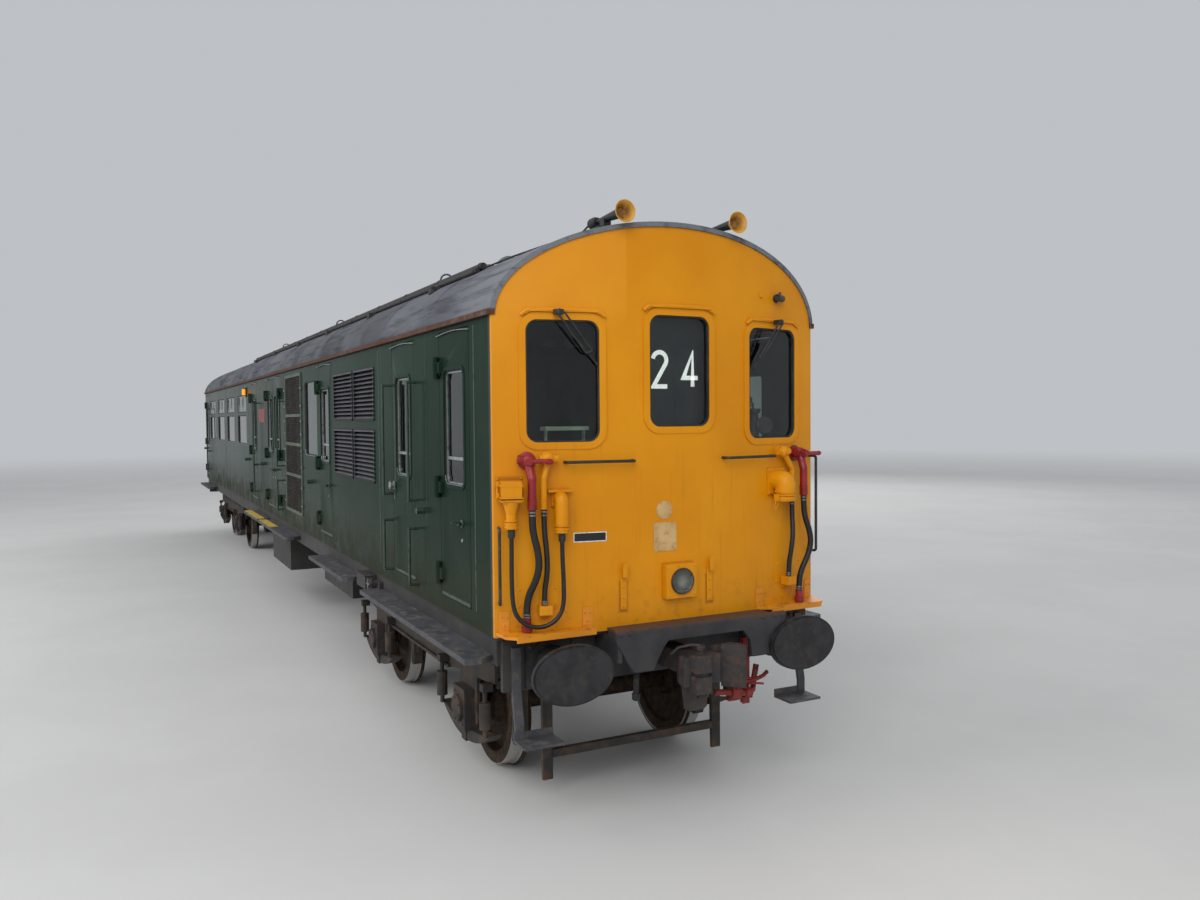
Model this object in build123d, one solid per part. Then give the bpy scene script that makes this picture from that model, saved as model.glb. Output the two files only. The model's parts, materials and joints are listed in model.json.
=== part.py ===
from build123d import *
import os
from math import asin, cos, degrees, pi, radians, sin, sqrt, tan

# Leading power car of a narrow-bodied diesel-electric multiple unit of 1957.
# All sizes are millimetres. While a piece is drawn, x is 0 at the front corner posts and grows forwards,
# y is 0 on the centre line and grows to the driver's left, and z is the height above the rail. On saving,
# a piece moves so that the car's middle is at x = 0 and its wheel flanges stand on z = 0.

# Clearances
SEAT = 0.4               # between two fixed pieces that bear on each other
HINGE_GAP = 6            # doorway edge to door leaf, on the hinge side, head and foot
LATCH_GAP = 10           # on the latch side, where the leaf's thickness swings past
RUNNING = 6              # between a turning or swivelling piece and its neighbours

# Body shell
BODY_LENGTH = 19470      # front corner posts to rear end wall
HALF_WIDTH = 1251
BOW = 190                # how far the cab front bulges ahead of its corners
SKIN = 60                # thickness of walls
SILL_BOTTOM = 1253
SILL_TOP = 1360
CANTRAIL_BOTTOM = 3240
CANTRAIL_TOP = 3271
ROOF_HALF = 1265
ROOF_RISE = 631
ROOF_THICK = 32
ROOF_LIP = 12            # roof sheet ahead of the cab front
GUTTER_OUT = 16
GUTTER_HIGH = 34
GLASS = 8

# Underframe
DECK_THICK = 22
SOLEBAR_BOTTOM = 1063
SOLEBAR_HALF = 1225
SOLEBAR_THICK = 70
FLOOR_THICK = 70
FLOOR_FRONT = -70
HEADSTOCK_THICK = 40
HEADSTOCK_BOTTOM = 900

# Wheels and bogies
FLANGE = 28
WHEEL_BACK = 680         # inner face of a wheel from the centre line
TYRE_WIDTH = 135
AXLE_R = 82
JOURNAL_R = 62
JOURNAL_END = 1045
FRAME_HALF = 978         # middle of a bogie side frame from the centre line
FRAME_PLATE = 76
BOGIE_SWIVEL_R = 110

# Ends
COUPLER_REACH = 370      # coupler face ahead of the end it hangs under
BUFFER_HALF = 880
BUFFER_Z = 1058
BUFFER_FACE = 385
GANGWAY_REACH = COUPLER_REACH
FRONT_REACH = BOW + COUPLER_REACH

FRONT_X = (BODY_LENGTH + GANGWAY_REACH - FRONT_REACH) / 2    # corner posts from the car's middle
BOW_R = (HALF_WIDTH ** 2 + BOW ** 2) / (2 * BOW)
WALL_IN = HALF_WIDTH - SKIN
FLOOR_TOP = SILL_BOTTOM + FLOOR_THICK

os.makedirs("parts", exist_ok=True)
solid_counts = {}


def save(name, shapes):
    """Write one node, moved to the car's own frame."""
    solids = []
    for shape in shapes:
        solids += list(shape.solids())
    moved = [Pos(FRONT_X, 0, FLANGE) * s for s in solids]
    whole = Compound(moved) if len(moved) > 1 else moved[0]
    export_step(whole, f"parts/{name}.step")
    solid_counts[name] = len(moved)


def block(x0, x1, y0, y1, z0, z1):
    """A box between two opposite corners."""
    middle = Pos((x0 + x1) / 2, (y0 + y1) / 2, (z0 + z1) / 2)
    return middle * Box(abs(x1 - x0), abs(y1 - y0), abs(z1 - z0))


def rod(start, end, radius):
    """A round bar between two points."""
    a, b = Vector(*start), Vector(*end)
    base = (Align.CENTER, Align.CENTER, Align.MIN)
    return Plane(origin=a, z_dir=b - a) * Cylinder(radius, (b - a).length, align=base)


def taper(start, end, r_start, r_end):
    """A round bar that changes radius along its length."""
    a, b = Vector(*start), Vector(*end)
    base = (Align.CENTER, Align.CENTER, Align.MIN)
    return Plane(origin=a, z_dir=b - a) * Cone(r_start, r_end, (b - a).length, align=base)


def bent_bar(points, radius, bend):
    """A round bar along straight runs with rounded corners."""
    path = FilletPolyline(*points, radius=bend)
    first = Plane(origin=path @ 0, z_dir=path % 0)
    return sweep(first * Circle(radius), path=path)


def side_plate(points, y0, y1):
    """A plate cut to an outline in x and z, between two y values."""
    face = make_face(Polyline(*[(x, 0, z) for x, z in points], close=True))
    return Pos(0, min(y0, y1), 0) * extrude(face, amount=abs(y1 - y0), dir=(0, 1, 0))


def flat_plate(points, z0, z1):
    """A plate cut to an outline in x and y, between two heights."""
    face = make_face(Polyline(*[(x, y, 0) for x, y in points], close=True))
    return Pos(0, 0, z0) * extrude(face, amount=z1 - z0, dir=(0, 0, 1))


def both_sides(shapes):
    """The pieces and their mirror images on the other side of the car."""
    return list(shapes) + [mirror(s, about=Plane.XZ) for s in shapes]


def slot_box(depth, wide, high, radius):
    """A box along x with its four long edges rounded, centred on the origin."""
    face = Plane.YZ * RectangleRounded(wide, high, radius)
    return Pos(-depth / 2, 0, 0) * extrude(face, amount=depth, dir=(1, 0, 0))


def arch(half, shoulder, arch_half, rise, bottom, x0, x1):
    """A block with the car's cross-section: upright sides and an elliptical top."""
    edges = [Line((-half, bottom), (half, bottom)), Line((half, bottom), (half, shoulder)),
             EllipticalCenterArc((0, shoulder), arch_half, rise, 0, arc_size=180),
             Line((-half, shoulder), (-half, bottom))]
    if half > arch_half:
        edges += [Line((half, shoulder), (arch_half, shoulder)),
                  Line((-arch_half, shoulder), (-half, shoulder))]
    face = Plane.YZ * Face(Wire(edges))
    return Pos(min(x0, x1), 0, 0) * extrude(face, amount=abs(x1 - x0), dir=(1, 0, 0))


def bow_prism(inset, back, z0, z1, lip=0):
    """A prism whose front follows the cab's bow, inset from the outside."""
    half = HALF_WIDTH - inset + (ROOF_HALF + GUTTER_OUT - HALF_WIDTH if lip else 0)
    r = BOW_R - inset + lip
    tip = BOW - inset + lip
    corner = tip - r + sqrt(r * r - half * half)
    edges = [Line((back, -half), (corner, -half)), ThreePointArc((corner, -half), (tip, 0), (corner, half)),
             Line((corner, half), (back, half)), Line((back, half), (back, -half))]
    return Pos(0, 0, z0) * extrude(Face(Wire(edges)), amount=z1 - z0, dir=(0, 0, 1))


def face_x(y):
    """How far forward the cab front is at a distance from the centre line."""
    return BOW - BOW_R + sqrt(BOW_R ** 2 - y ** 2)


def on_face(y, z, proud=0):
    """A place on the cab front whose +x points straight out of the sheet."""
    turn = degrees(asin(y / BOW_R))
    return Location((face_x(y), y, z), (0, 0, turn)) * Pos(proud, 0, 0)


# Side walls. Doorways: name, front edge, rear edge, hinge edge, way it opens, widest angle.
DOORS = [
    ("cab_door", -420, -1060, "rear", "out", 165),
    ("guard_door", -1700, -2340, "front", "in", 90),
    ("engine_door", -4809, -5490, "rear", "out", 165),
    ("luggage_door_front", -8180, -8810, "front", "out", 110),
    ("luggage_door_rear", -8810, -9440, "rear", "out", 165),
    ("passenger_door", -10520, -11180, "rear", "out", 165),
    ("end_door", 920 - BODY_LENGTH, 260 - BODY_LENGTH, "rear", "out", 165),
]
DOOR_LEAF = 50
DOOR_WINDOW = (2167, 2964)      # foot and head of the drop windows
DOOR_WINDOW_SIDE = 105          # leaf edge to window opening
HINGE_PROUD = 27                # hinge line outside the body side
HINGE_R = 22
INNER_HINGE_R = 12
HINGE_HIGH = 100
HINGE_PIN_R = 7
HINGE_RUN = 0.05                # radial play of a pin in its knuckle
KNUCKLE = 26                    # height of a fixed knuckle
HINGE_STRAP = 64
HINGE_Z = (1520, 2140, 2990)
HANDLE_Z = 1914
BUMPER = 58                     # length of a door bump stop

# Window and grille openings in the side: front edge, rear edge, foot, head, corner radius.
LOUVRES = [(-2950, -3732, z0, z1, 20) for z0, z1 in ((2052, 2535), (2614, 3099))]
LOUVRES += [(-3800, -4645, z0, z1, 20) for z0, z1 in ((2052, 2535), (2614, 3099))]
ENGINE_WINDOW = (-5600, -6340, 2205, 3085, 60)
RADIATOR = (-6565, -7750, 1435, 3212, 12)
BAY = 1750                      # one seating bay of the saloon
END_PARTITION = 965 - BODY_LENGTH
SEAT_BACK_FROM_BAY_END = 110
BAY_FIRST = -12450
BAYS = int((BAY_FIRST + BAY / 2 + SEAT_BACK_FROM_BAY_END - END_PARTITION) // BAY)
SALOON_LIGHTS = []
for bay in range(BAYS):
    middle = BAY_FIRST - bay * BAY
    SALOON_LIGHTS += [(middle + 595, middle - 595, 2212, 2718, 45), (middle + 595, middle - 595, 2768, 3072, 45)]
OPENINGS = LOUVRES + [ENGINE_WINDOW, RADIATOR] + SALOON_LIGHTS


def opening_cutter(row, grow=0, y0=-HALF_WIDTH - 40, y1=-WALL_IN + 40):
    """A rounded block that fills one opening in the right-hand wall."""
    front, rear, foot, head, radius = row
    wide, high = front - rear - 2 * grow, head - foot - 2 * grow
    shape = Rot(0, 0, 90) * slot_box(y1 - y0, wide, high, max(radius - grow, 2))
    return Pos((front + rear) / 2, (y0 + y1) / 2, (foot + head) / 2) * shape


def wall_spans():
    """The stretches of side wall between doorways, front to rear."""
    edges = [-SKIN - SEAT]
    for name, front, rear, hinge, way, angle in DOORS:
        if edges[-1] != front:
            edges += [front]
        else:
            edges.pop()
        edges += [rear]
    edges += [-BODY_LENGTH + SKIN + SEAT]
    return list(zip(edges[0::2], edges[1::2]))


def side_wall():
    """Right-hand body side: sill, cantrail and the panels between doorways."""
    y0, y1 = -HALF_WIDTH, -WALL_IN
    rear = -BODY_LENGTH + SKIN + SEAT
    solids = [block(-SKIN - SEAT, rear, y0, y1, SILL_BOTTOM + SEAT, SILL_TOP),
              block(-SKIN - SEAT, rear, y0, y1, CANTRAIL_BOTTOM, CANTRAIL_TOP - SEAT)]
    for front, back in wall_spans():
        panel = block(front, back, y0, y1, SILL_TOP + SEAT, CANTRAIL_BOTTOM - SEAT)
        for row in OPENINGS:
            if back < row[1] and row[0] < front:
                panel -= opening_cutter(row)
        solids.append(panel)
    return solids


def hinge_fixture(x, away, y_pin, y_wall, z, radius):
    """Fixed half of a hinge: a pin in two knuckles that stand off the wall."""
    half = HINGE_HIGH / 2 + 1
    fixture = rod((x, y_pin, z - half - KNUCKLE), (x, y_pin, z + half + KNUCKLE), HINGE_PIN_R)
    for side in (-1, 1):
        low, high = z + side * half, z + side * (half + KNUCKLE)
        fixture += rod((x, y_pin, low), (x, y_pin, high), radius)
        fixture += block(x + away * HINGE_GAP, x + away * (HINGE_GAP + HINGE_STRAP), y_wall, y_pin, low, high)
    return fixture


def door_hinges():
    """The fixed hinge halves of every right-hand door, outside or inside the wall as the door opens."""
    fixtures = []
    for name, front, rear, hinge, way, angle in DOORS:
        x = rear + HINGE_GAP if hinge == "rear" else front - HINGE_GAP
        away = -1 if hinge == "rear" else 1
        for z in HINGE_Z:
            if way == "out":
                fixtures.append(hinge_fixture(x, away, -HALF_WIDTH - HINGE_PROUD, -HALF_WIDTH - SEAT, z, HINGE_R - 2))
            else:
                y_pin = -HALF_WIDTH + DOOR_LEAF + HINGE_PROUD
                fixtures.append(hinge_fixture(x, away, y_pin, -WALL_IN + SEAT, z, INNER_HINGE_R - 1))
    return fixtures


def pin_hole(x, y, z):
    """The bore through a door's knuckle."""
    high = HINGE_HIGH / 2 + 5
    return rod((x, y, z - high), (x, y, z + high), HINGE_PIN_R + HINGE_RUN)


def door(row):
    """One right-hand door: its leaf with window frame, hinges and handle, and its pane."""
    name, front, rear, hinge, way, angle = row
    step_front = HINGE_GAP if hinge == "front" else LATCH_GAP
    step_rear = HINGE_GAP if hinge == "rear" else LATCH_GAP
    if name == "luggage_door_front":
        step_rear = LATCH_GAP / 2
    if name == "luggage_door_rear":
        step_front = LATCH_GAP / 2
    x1, x0 = front - step_front, rear + step_rear
    z0, z1 = SILL_TOP + HINGE_GAP, CANTRAIL_BOTTOM - HINGE_GAP
    y0, y1 = -HALF_WIDTH, -HALF_WIDTH + DOOR_LEAF
    leaf = block(x0, x1, y0, y1, z0, z1)
    light = (x1 - DOOR_WINDOW_SIDE, x0 + DOOR_WINDOW_SIDE, DOOR_WINDOW[0], DOOR_WINDOW[1], 55)
    frame_rows = (light[0] + 26, light[1] - 26, light[2] - 26, light[3] + 26, 80)
    leaf += opening_cutter(frame_rows, 0, y0 - 7, y0 + 10)
    leaf -= opening_cutter(light)
    hinge_x = x0 if hinge == "rear" else x1
    into = 1 if hinge == "rear" else -1
    if way == "out":
        for z in HINGE_Z:
            pin = (hinge_x, y0 - HINGE_PROUD, z - HINGE_HIGH / 2)
            leaf += rod(pin, (pin[0], pin[1], z + HINGE_HIGH / 2), HINGE_R)
            leaf += block(hinge_x, hinge_x + into * 75, y0, y0 - HINGE_PROUD, z - 40, z + 40)
            leaf -= pin_hole(pin[0], pin[1], z)
        knob_x = (x1 - 165) if hinge == "rear" else (x0 + 90)
        if name == "luggage_door_rear":
            knob_x = x1 - 90
        leaf += rod((knob_x, y0 + 5, HANDLE_Z), (knob_x, y0 - 46, HANDLE_Z), 12)
        leaf += rod((knob_x - 55, y0 - 46, HANDLE_Z), (knob_x + 55, y0 - 46, HANDLE_Z), 10)
    else:
        leaf += rod((x0 + 60, y0 + 5, 2080), (x0 + 60, y0 - 12, 2080), 26)
        for z in HINGE_Z:
            pin = (hinge_x, y1 + HINGE_PROUD, z - HINGE_HIGH / 2)
            leaf += rod(pin, (pin[0], pin[1], z + HINGE_HIGH / 2), INNER_HINGE_R)
            leaf += block(hinge_x, hinge_x + into * 75, y1 - 2, y1 + HINGE_PROUD, z - 40, z + 40)
            leaf -= pin_hole(pin[0], pin[1], z)
    pane = opening_cutter(light, SEAT, y0 + 22, y0 + 22 + GLASS)
    return [leaf, pane]


def side_glass():
    """Fixed panes of the right-hand side."""
    y0 = -HALF_WIDTH + 20
    return [opening_cutter(row, SEAT, y0, y0 + GLASS) for row in [ENGINE_WINDOW] + SALOON_LIGHTS]


LOUVRE_BLADES = 11
LOUVRE_RIM = 22


def louvre(row):
    """A louvre panel: a rim in its opening and a stack of tilted blades."""
    front, rear, foot, head, radius = row
    y0, y1 = -HALF_WIDTH - 10, -HALF_WIDTH + 45
    rim = opening_cutter(row, SEAT, y0, y1)
    inner = (front - LOUVRE_RIM, rear + LOUVRE_RIM, foot + LOUVRE_RIM, head - LOUVRE_RIM, 4)
    rim -= opening_cutter(inner)
    pitch = (head - foot - 2 * LOUVRE_RIM) / LOUVRE_BLADES
    blade = Rot(52, 0, 0) * Box(front - rear - 2 * LOUVRE_RIM + 4, 52, 5)
    for i in range(LOUVRE_BLADES):
        z = foot + LOUVRE_RIM + (i + 0.5) * pitch
        rim += Pos((front + rear) / 2, -HALF_WIDTH + 16, z) * blade
    return rim


GRILLE_BARS = 17
GRILLE_RAILS = (1919, 2316, 2685)


def radiator_grille():
    """The tall radiator guard: rim, three rails and upright bars."""
    front, rear, foot, head, radius = RADIATOR
    y0, y1 = -HALF_WIDTH - 12, -HALF_WIDTH + 30
    guard = opening_cutter(RADIATOR, SEAT, y0, y1)
    inner = (front - 38, rear + 38, foot + 38, head - 38, 4)
    guard -= opening_cutter(inner)
    for z in GRILLE_RAILS:
        guard += block(rear + 30, front - 30, y0 + 4, y1 - 4, z - 19, z + 19)
    pitch = (front - rear - 2 * 38) / (GRILLE_BARS + 1)
    for i in range(GRILLE_BARS):
        x = rear + 38 + (i + 1) * pitch
        guard += block(x - 5, x + 5, y0 + 12, y0 + 22, foot + 30, head - 30)
    return guard


def radiator_core():
    """The radiator block behind its guard."""
    front, rear, foot, head, radius = RADIATOR
    return block(rear + 20, front - 20, -WALL_IN + 12, -WALL_IN + 230, FLOOR_TOP + SEAT, head - 30)


# Cab front windows: middle y, half width, foot, head, corner radius.
CAB_WINDOWS = [(-816, 239, 2474, 3244, 75), (0, 231, 2564, 3294, 75), (816, 239, 2474, 3244, 75)]
SURROUND_PROUD = 4
RAIN_STRIPS = [(-808, 522, 3302), (0, 532, 3352), (816, 500, 3300)]


def cab_front():
    """The bowed cab front with raised window surrounds and rain strips."""
    high = CANTRAIL_TOP + ROOF_RISE
    wall = bow_prism(0, -SKIN, SILL_BOTTOM + SEAT, high) - bow_prism(SKIN, -SKIN - 10, SILL_BOTTOM - 10, high + 10)
    shell = arch(HALF_WIDTH, CANTRAIL_TOP - SEAT, ROOF_HALF - ROOF_THICK - SEAT,
                 ROOF_RISE - ROOF_THICK - SEAT, SILL_BOTTOM, -SKIN, FRONT_REACH)
    wall = wall & shell
    for y, half, foot, head, radius in CAB_WINDOWS:
        middle = (foot + head) / 2
        ring = slot_box(16, 2 * half + 90, head - foot + 90, radius + 45)
        wall += on_face(y, middle, SURROUND_PROUD - 8) * ring
        wall -= on_face(y, middle) * slot_box(4 * SKIN, 2 * half, head - foot, radius)
    for y, wide, z in RAIN_STRIPS:
        strip = Box(26, wide - 70, 20)
        tail = Box(26, 70, 18)
        wall += on_face(y, z, 6) * strip
        for end in (-1, 1):
            wall += on_face(y + end * (wide / 2 - 26), z - 13, 5) * Rot(-24 * end, 0, 0) * tail
    return wall


def cab_glass():
    """The three front panes."""
    return [on_face(y, (foot + head) / 2, -26) * slot_box(GLASS, 2 * (half - SEAT), head - foot - 2 * SEAT, radius)
            for y, half, foot, head, radius in CAB_WINDOWS]


def headcode_box():
    """The closed box behind the middle window that holds the number blinds."""
    y, half, foot, head, radius = CAB_WINDOWS[1]
    return block(BOW - SKIN - 190, BOW - SKIN - 8.4, -half - 25, half + 25, foot - 25, head + 20)


ROOF_SEAMS = (-2640, -7930)     # where the removable engine-room roof meets its neighbours


def roof():
    """Three roof sections with gutters; the front edge follows the bow."""
    whole = arch(ROOF_HALF, CANTRAIL_TOP, ROOF_HALF, ROOF_RISE, CANTRAIL_TOP - 1, -BODY_LENGTH, FRONT_REACH)
    inner = arch(ROOF_HALF - ROOF_THICK, CANTRAIL_TOP, ROOF_HALF - ROOF_THICK, ROOF_RISE - ROOF_THICK,
                 CANTRAIL_TOP - 60, -BODY_LENGTH - 10, FRONT_REACH + 10)
    whole -= inner
    whole -= block(-BODY_LENGTH - 10, FRONT_REACH + 10, -1400, 1400, CANTRAIL_TOP - 10, CANTRAIL_TOP)
    gutter = block(-BODY_LENGTH, FRONT_REACH, -ROOF_HALF - GUTTER_OUT, -ROOF_HALF + ROOF_THICK,
                   CANTRAIL_TOP, CANTRAIL_TOP + GUTTER_HIGH)
    whole = whole + gutter + mirror(gutter, about=Plane.XZ)
    whole = whole & bow_prism(0, -BODY_LENGTH, CANTRAIL_TOP - 20, CANTRAIL_TOP + ROOF_RISE + 20, ROOF_LIP)
    cuts = [FRONT_REACH] + list(ROOF_SEAMS) + [-BODY_LENGTH - 1]
    sections = []
    for front, rear in zip(cuts[:-1], cuts[1:]):
        slab = block(rear + SEAT, front, -1400, 1400, CANTRAIL_TOP - 50, CANTRAIL_TOP + ROOF_RISE + 50)
        sections.append(whole & slab)
    return sections


def roof_z(y, gap=0.0):
    """Height of the roof's outside at a distance from the centre line."""
    return CANTRAIL_TOP + (ROOF_RISE + gap) * sqrt(1 - (y / (ROOF_HALF + gap)) ** 2)


def underframe():
    """Deck, solebars, headstocks and the two bolsters the bogies turn under."""
    top = SILL_BOTTOM - SEAT
    under = top - DECK_THICK
    rear = -BODY_LENGTH
    solids = [bow_prism(HALF_WIDTH - SOLEBAR_HALF, rear, under, top)]
    head = HEADSTOCK_THICK
    inside = SOLEBAR_HALF - SOLEBAR_THICK
    for side in (-1, 1):
        solids.append(block(rear + head + SEAT, -head - SEAT, side * inside, side * SOLEBAR_HALF,
                            SOLEBAR_BOTTOM, under - SEAT))
    solids.append(block(-head, 0, -SOLEBAR_HALF + 25, SOLEBAR_HALF - 25, HEADSTOCK_BOTTOM, under - SEAT))
    solids.append(block(rear, rear + head, -SOLEBAR_HALF + 25, SOLEBAR_HALF - 25, HEADSTOCK_BOTTOM, under - SEAT))
    for centre, wheelbase, wheel_r, motor in BOGIES:
        beam = block(centre - 210, centre + 210, -inside + SEAT, inside - SEAT, BODY_BOLSTER_Z, under - SEAT)
        beam -= rod((centre, 0, BODY_BOLSTER_Z - 1), (centre, 0, BODY_BOLSTER_Z + 90), BOGIE_SWIVEL_R + 0.5)
        solids.append(beam)
    return solids


# Bogies: centre, wheelbase, wheel radius, motored
BOGIES = [(BOW - 2743, 2591, 457, False), (2743 - BODY_LENGTH, 2667, 508, True)]
BODY_BOLSTER_Z = 1085
BOGIE_NAMES = ("front", "rear")
BOGIE_TOP = 905
FRAME_LOW = 655
TRANSOM = 400            # cross beams of a bogie, from its middle
TRANSOM_HALF = 55


def wheelset(centre, wheel_r):
    """An axle with its two wheels."""
    solids = []
    end, back = JOURNAL_END, WHEEL_BACK
    shaft = [(0, -end), (JOURNAL_R, -end), (JOURNAL_R, -back - TYRE_WIDTH - 30), (AXLE_R, -back - TYRE_WIDTH - 20),
             (AXLE_R, back + TYRE_WIDTH + 20), (JOURNAL_R, back + TYRE_WIDTH + 30), (JOURNAL_R, end), (0, end)]
    axle = revolve(make_face(Polyline(*shaft, close=True)), axis=Axis.Y)
    solids.append(axle)
    hub, bore = AXLE_R + 45, AXLE_R + 0.3
    rim = wheel_r - 95
    out = back + TYRE_WIDTH
    tyre = [(bore, back - 15), (hub, back - 15), (hub + 25, back + 45), (rim - 15, back + 22), (rim, back),
            (wheel_r + FLANGE - 6, back), (wheel_r + FLANGE, back + 12), (wheel_r + FLANGE - 8, back + 26),
            (wheel_r + 3, back + 36), (wheel_r - 2, out), (rim, out), (rim - 15, back + 62),
            (hub + 25, back + 82), (hub, out + 8), (bore, out + 8)]
    for side in (-1, 1):
        ring = make_face(Polyline(*[(r, side * y) for r, y in tyre], close=True))
        solids.append(revolve(ring, axis=Axis.Y))
    return [Pos(centre, 0, wheel_r) * s for s in solids]


AXLEBOX_HALF = 125
AXLEBOX_HIGH = 300
HORN = 60                # width of a horn guide beside its axlebox
HORN_TOP = 155           # head of the axlebox opening above the axle


def frame_end(wheelbase, wheel_r):
    """Half length of a bogie frame, past the wheel flanges."""
    return wheelbase / 2 + wheel_r + FLANGE + 75


def frame_outline(wheelbase, wheel_r):
    """Outline of a side frame: a deep middle, horn guides over the axleboxes and dropped ends."""
    reach = wheelbase / 2
    end = frame_end(wheelbase, wheel_r)
    inner, outer = reach - AXLEBOX_HALF - SEAT, reach + AXLEBOX_HALF + SEAT
    horn = wheel_r - 95
    half = [(0, FRAME_LOW), (inner - HORN - 230, FRAME_LOW), (inner - HORN, FRAME_LOW + 40), (inner - HORN, horn),
            (inner, horn), (inner, wheel_r + HORN_TOP), (outer, wheel_r + HORN_TOP), (outer, horn), (outer + HORN, horn),
            (outer + HORN, FRAME_LOW + 60), (end, BOGIE_TOP - 150), (end, BOGIE_TOP - 20),
            (outer + HORN, BOGIE_TOP)]
    return half + [(-x, z) for x, z in reversed(half[1:])]


def bogie_frame(centre, wheelbase, wheel_r):
    """Two side frames, two transoms, the headstocks and the bolster with its pivot."""
    solids = []
    half_plate = FRAME_PLATE / 2
    for side in (-1, 1):
        y = side * FRAME_HALF
        plate = side_plate(frame_outline(wheelbase, wheel_r), y - 12, y + 12)
        plate += block(-wheelbase / 2 - 150, wheelbase / 2 + 150, y - half_plate, y + half_plate,
                       BOGIE_TOP - 26, BOGIE_TOP)
        plate += block(-wheelbase / 2 + 420, wheelbase / 2 - 420, y - half_plate, y + half_plate,
                       FRAME_LOW, FRAME_LOW + 22)
        solids.append(plate)
    inside = FRAME_HALF - half_plate - SEAT
    for x in (-TRANSOM, TRANSOM):
        solids.append(block(x - TRANSOM_HALF, x + TRANSOM_HALF, -inside, inside, FRAME_LOW + 30, BOGIE_TOP - 20))
    end, between = frame_end(wheelbase, wheel_r), FRAME_HALF - 12 - SEAT
    for side in (-1, 1):
        solids.append(block(side * (end - 60), side * (end - 8), -between, between, BOGIE_TOP - 115, BOGIE_TOP - 25))
    beam = block(-250, 250, -inside, inside, FRAME_LOW + 60, 960)
    beam += rod((0, 0, 950), (0, 0, BODY_BOLSTER_Z + 60), BOGIE_SWIVEL_R)
    for side in (-1, 1):
        beam += block(-130, 130, side * 620, side * 800, 950, BODY_BOLSTER_Z - RUNNING)
    solids.append(beam)
    return [Pos(centre, 0, 0) * s for s in solids]


SPRING_REACH = 520
SPRING_DROP = 70


def leaf_spring(x, y, top):
    """A laminated spring slung under an axlebox, thick in the middle and thin at its eyes."""
    eye, mid = top + SPRING_DROP, top
    edges = [ThreePointArc((-SPRING_REACH, 0, eye), (0, 0, mid), (SPRING_REACH, 0, eye)),
             Line((SPRING_REACH, 0, eye), (SPRING_REACH, 0, eye - 18)),
             ThreePointArc((SPRING_REACH, 0, eye - 18), (0, 0, mid - 92), (-SPRING_REACH, 0, eye - 18)),
             Line((-SPRING_REACH, 0, eye - 18), (-SPRING_REACH, 0, eye))]
    pack = extrude(Face(Wire(edges)), amount=90, dir=(0, 1, 0))
    pack = Pos(0, -45, 0) * pack
    buckle = Box(95, 112, 112)
    return Pos(x, y, 0) * (pack + Pos(0, 0, mid - 46) * buckle)


def running_gear(centre, wheelbase, wheel_r):
    """Axleboxes with slung leaf springs, their hangers, and the brake blocks and hangers."""
    solids = []
    for axle in (-wheelbase / 2, wheelbase / 2):
        for side in (-1, 1):
            y = side * FRAME_HALF
            box_low = wheel_r - AXLEBOX_HIGH / 2
            box_top = wheel_r + HORN_TOP - SEAT
            axlebox = block(axle - AXLEBOX_HALF, axle + AXLEBOX_HALF, y - 70, y + 90, box_low, box_top)
            axlebox += rod((axle, y + 90 * side, wheel_r), (axle, y + 118 * side, wheel_r), 98)
            if side < 0:
                axlebox += block(axle - AXLEBOX_HALF, axle + AXLEBOX_HALF, y - 90, y - 60, box_low, box_top)
            hole = (axle, side * (FRAME_HALF - 200), wheel_r)
            axlebox -= rod(hole, (axle, side * (JOURNAL_END + 4), wheel_r), JOURNAL_R + 1)
            axlebox += leaf_spring(axle, y, box_low + 1)
            solids.append(axlebox)
            for reach in (-SPRING_REACH + 30, SPRING_REACH - 30):
                foot = box_low + SPRING_DROP - 12
                x = axle + reach
                link = rod((x, y + side * 62, foot), (x, y + side * 62, FRAME_LOW + 90), 17)
                link += rod((x, y + side * 62, foot + 60), (x, y + side * 62, FRAME_LOW - 40), 42)
                link += block(x - 34, x + 34, y + side * 12.4, y + side * 90, FRAME_LOW + 40, FRAME_LOW + 95)
                solids.append(link)
    for axle in (-wheelbase / 2, wheelbase / 2):
        for facing in (-1, 1):
            for side in (-1, 1):
                solids.append(brake_shoe(axle, facing, side, wheel_r))
    return [Pos(centre, 0, 0) * s for s in solids]


def brake_shoe(axle, facing, side, wheel_r):
    """A brake block that follows the tread, on its hanger and bracket."""
    y0 = side * (WHEEL_BACK + 42)
    y1 = side * (WHEEL_BACK + TYRE_WIDTH - 8)
    near = wheel_r + 8
    ring = rod((axle, min(y0, y1), wheel_r), (axle, max(y0, y1), wheel_r), near + 46)
    ring -= rod((axle, min(y0, y1) - 5, wheel_r), (axle, max(y0, y1) + 5, wheel_r), near)
    keep = block(axle + facing * (wheel_r * 0.7), axle + facing * (wheel_r + 100), y0, y1,
                 wheel_r - 190, wheel_r + 110)
    shoe = ring & keep
    x = axle + facing * (wheel_r + 78)
    hanger = block(x - 28, x + 28, side * (WHEEL_BACK + 60), side * (WHEEL_BACK + 105), wheel_r - 60, FRAME_LOW + 120)
    hanger += block(x - facing * 60, x + facing * 28, side * (WHEEL_BACK + 60), side * (WHEEL_BACK + 105),
                    wheel_r - 60, wheel_r + 40)
    arm_end = side * (FRAME_HALF - 12.4)
    hanger += block(x - 28, x + 28, side * (WHEEL_BACK + 60), arm_end, FRAME_LOW + 60, FRAME_LOW + 120)
    return shoe + hanger


LIFEGUARD_AHEAD = 262
LIFEGUARD_HALF = 700
LIFEGUARD_LOW = 110
LIFEGUARD_WIDE = 76


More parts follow.
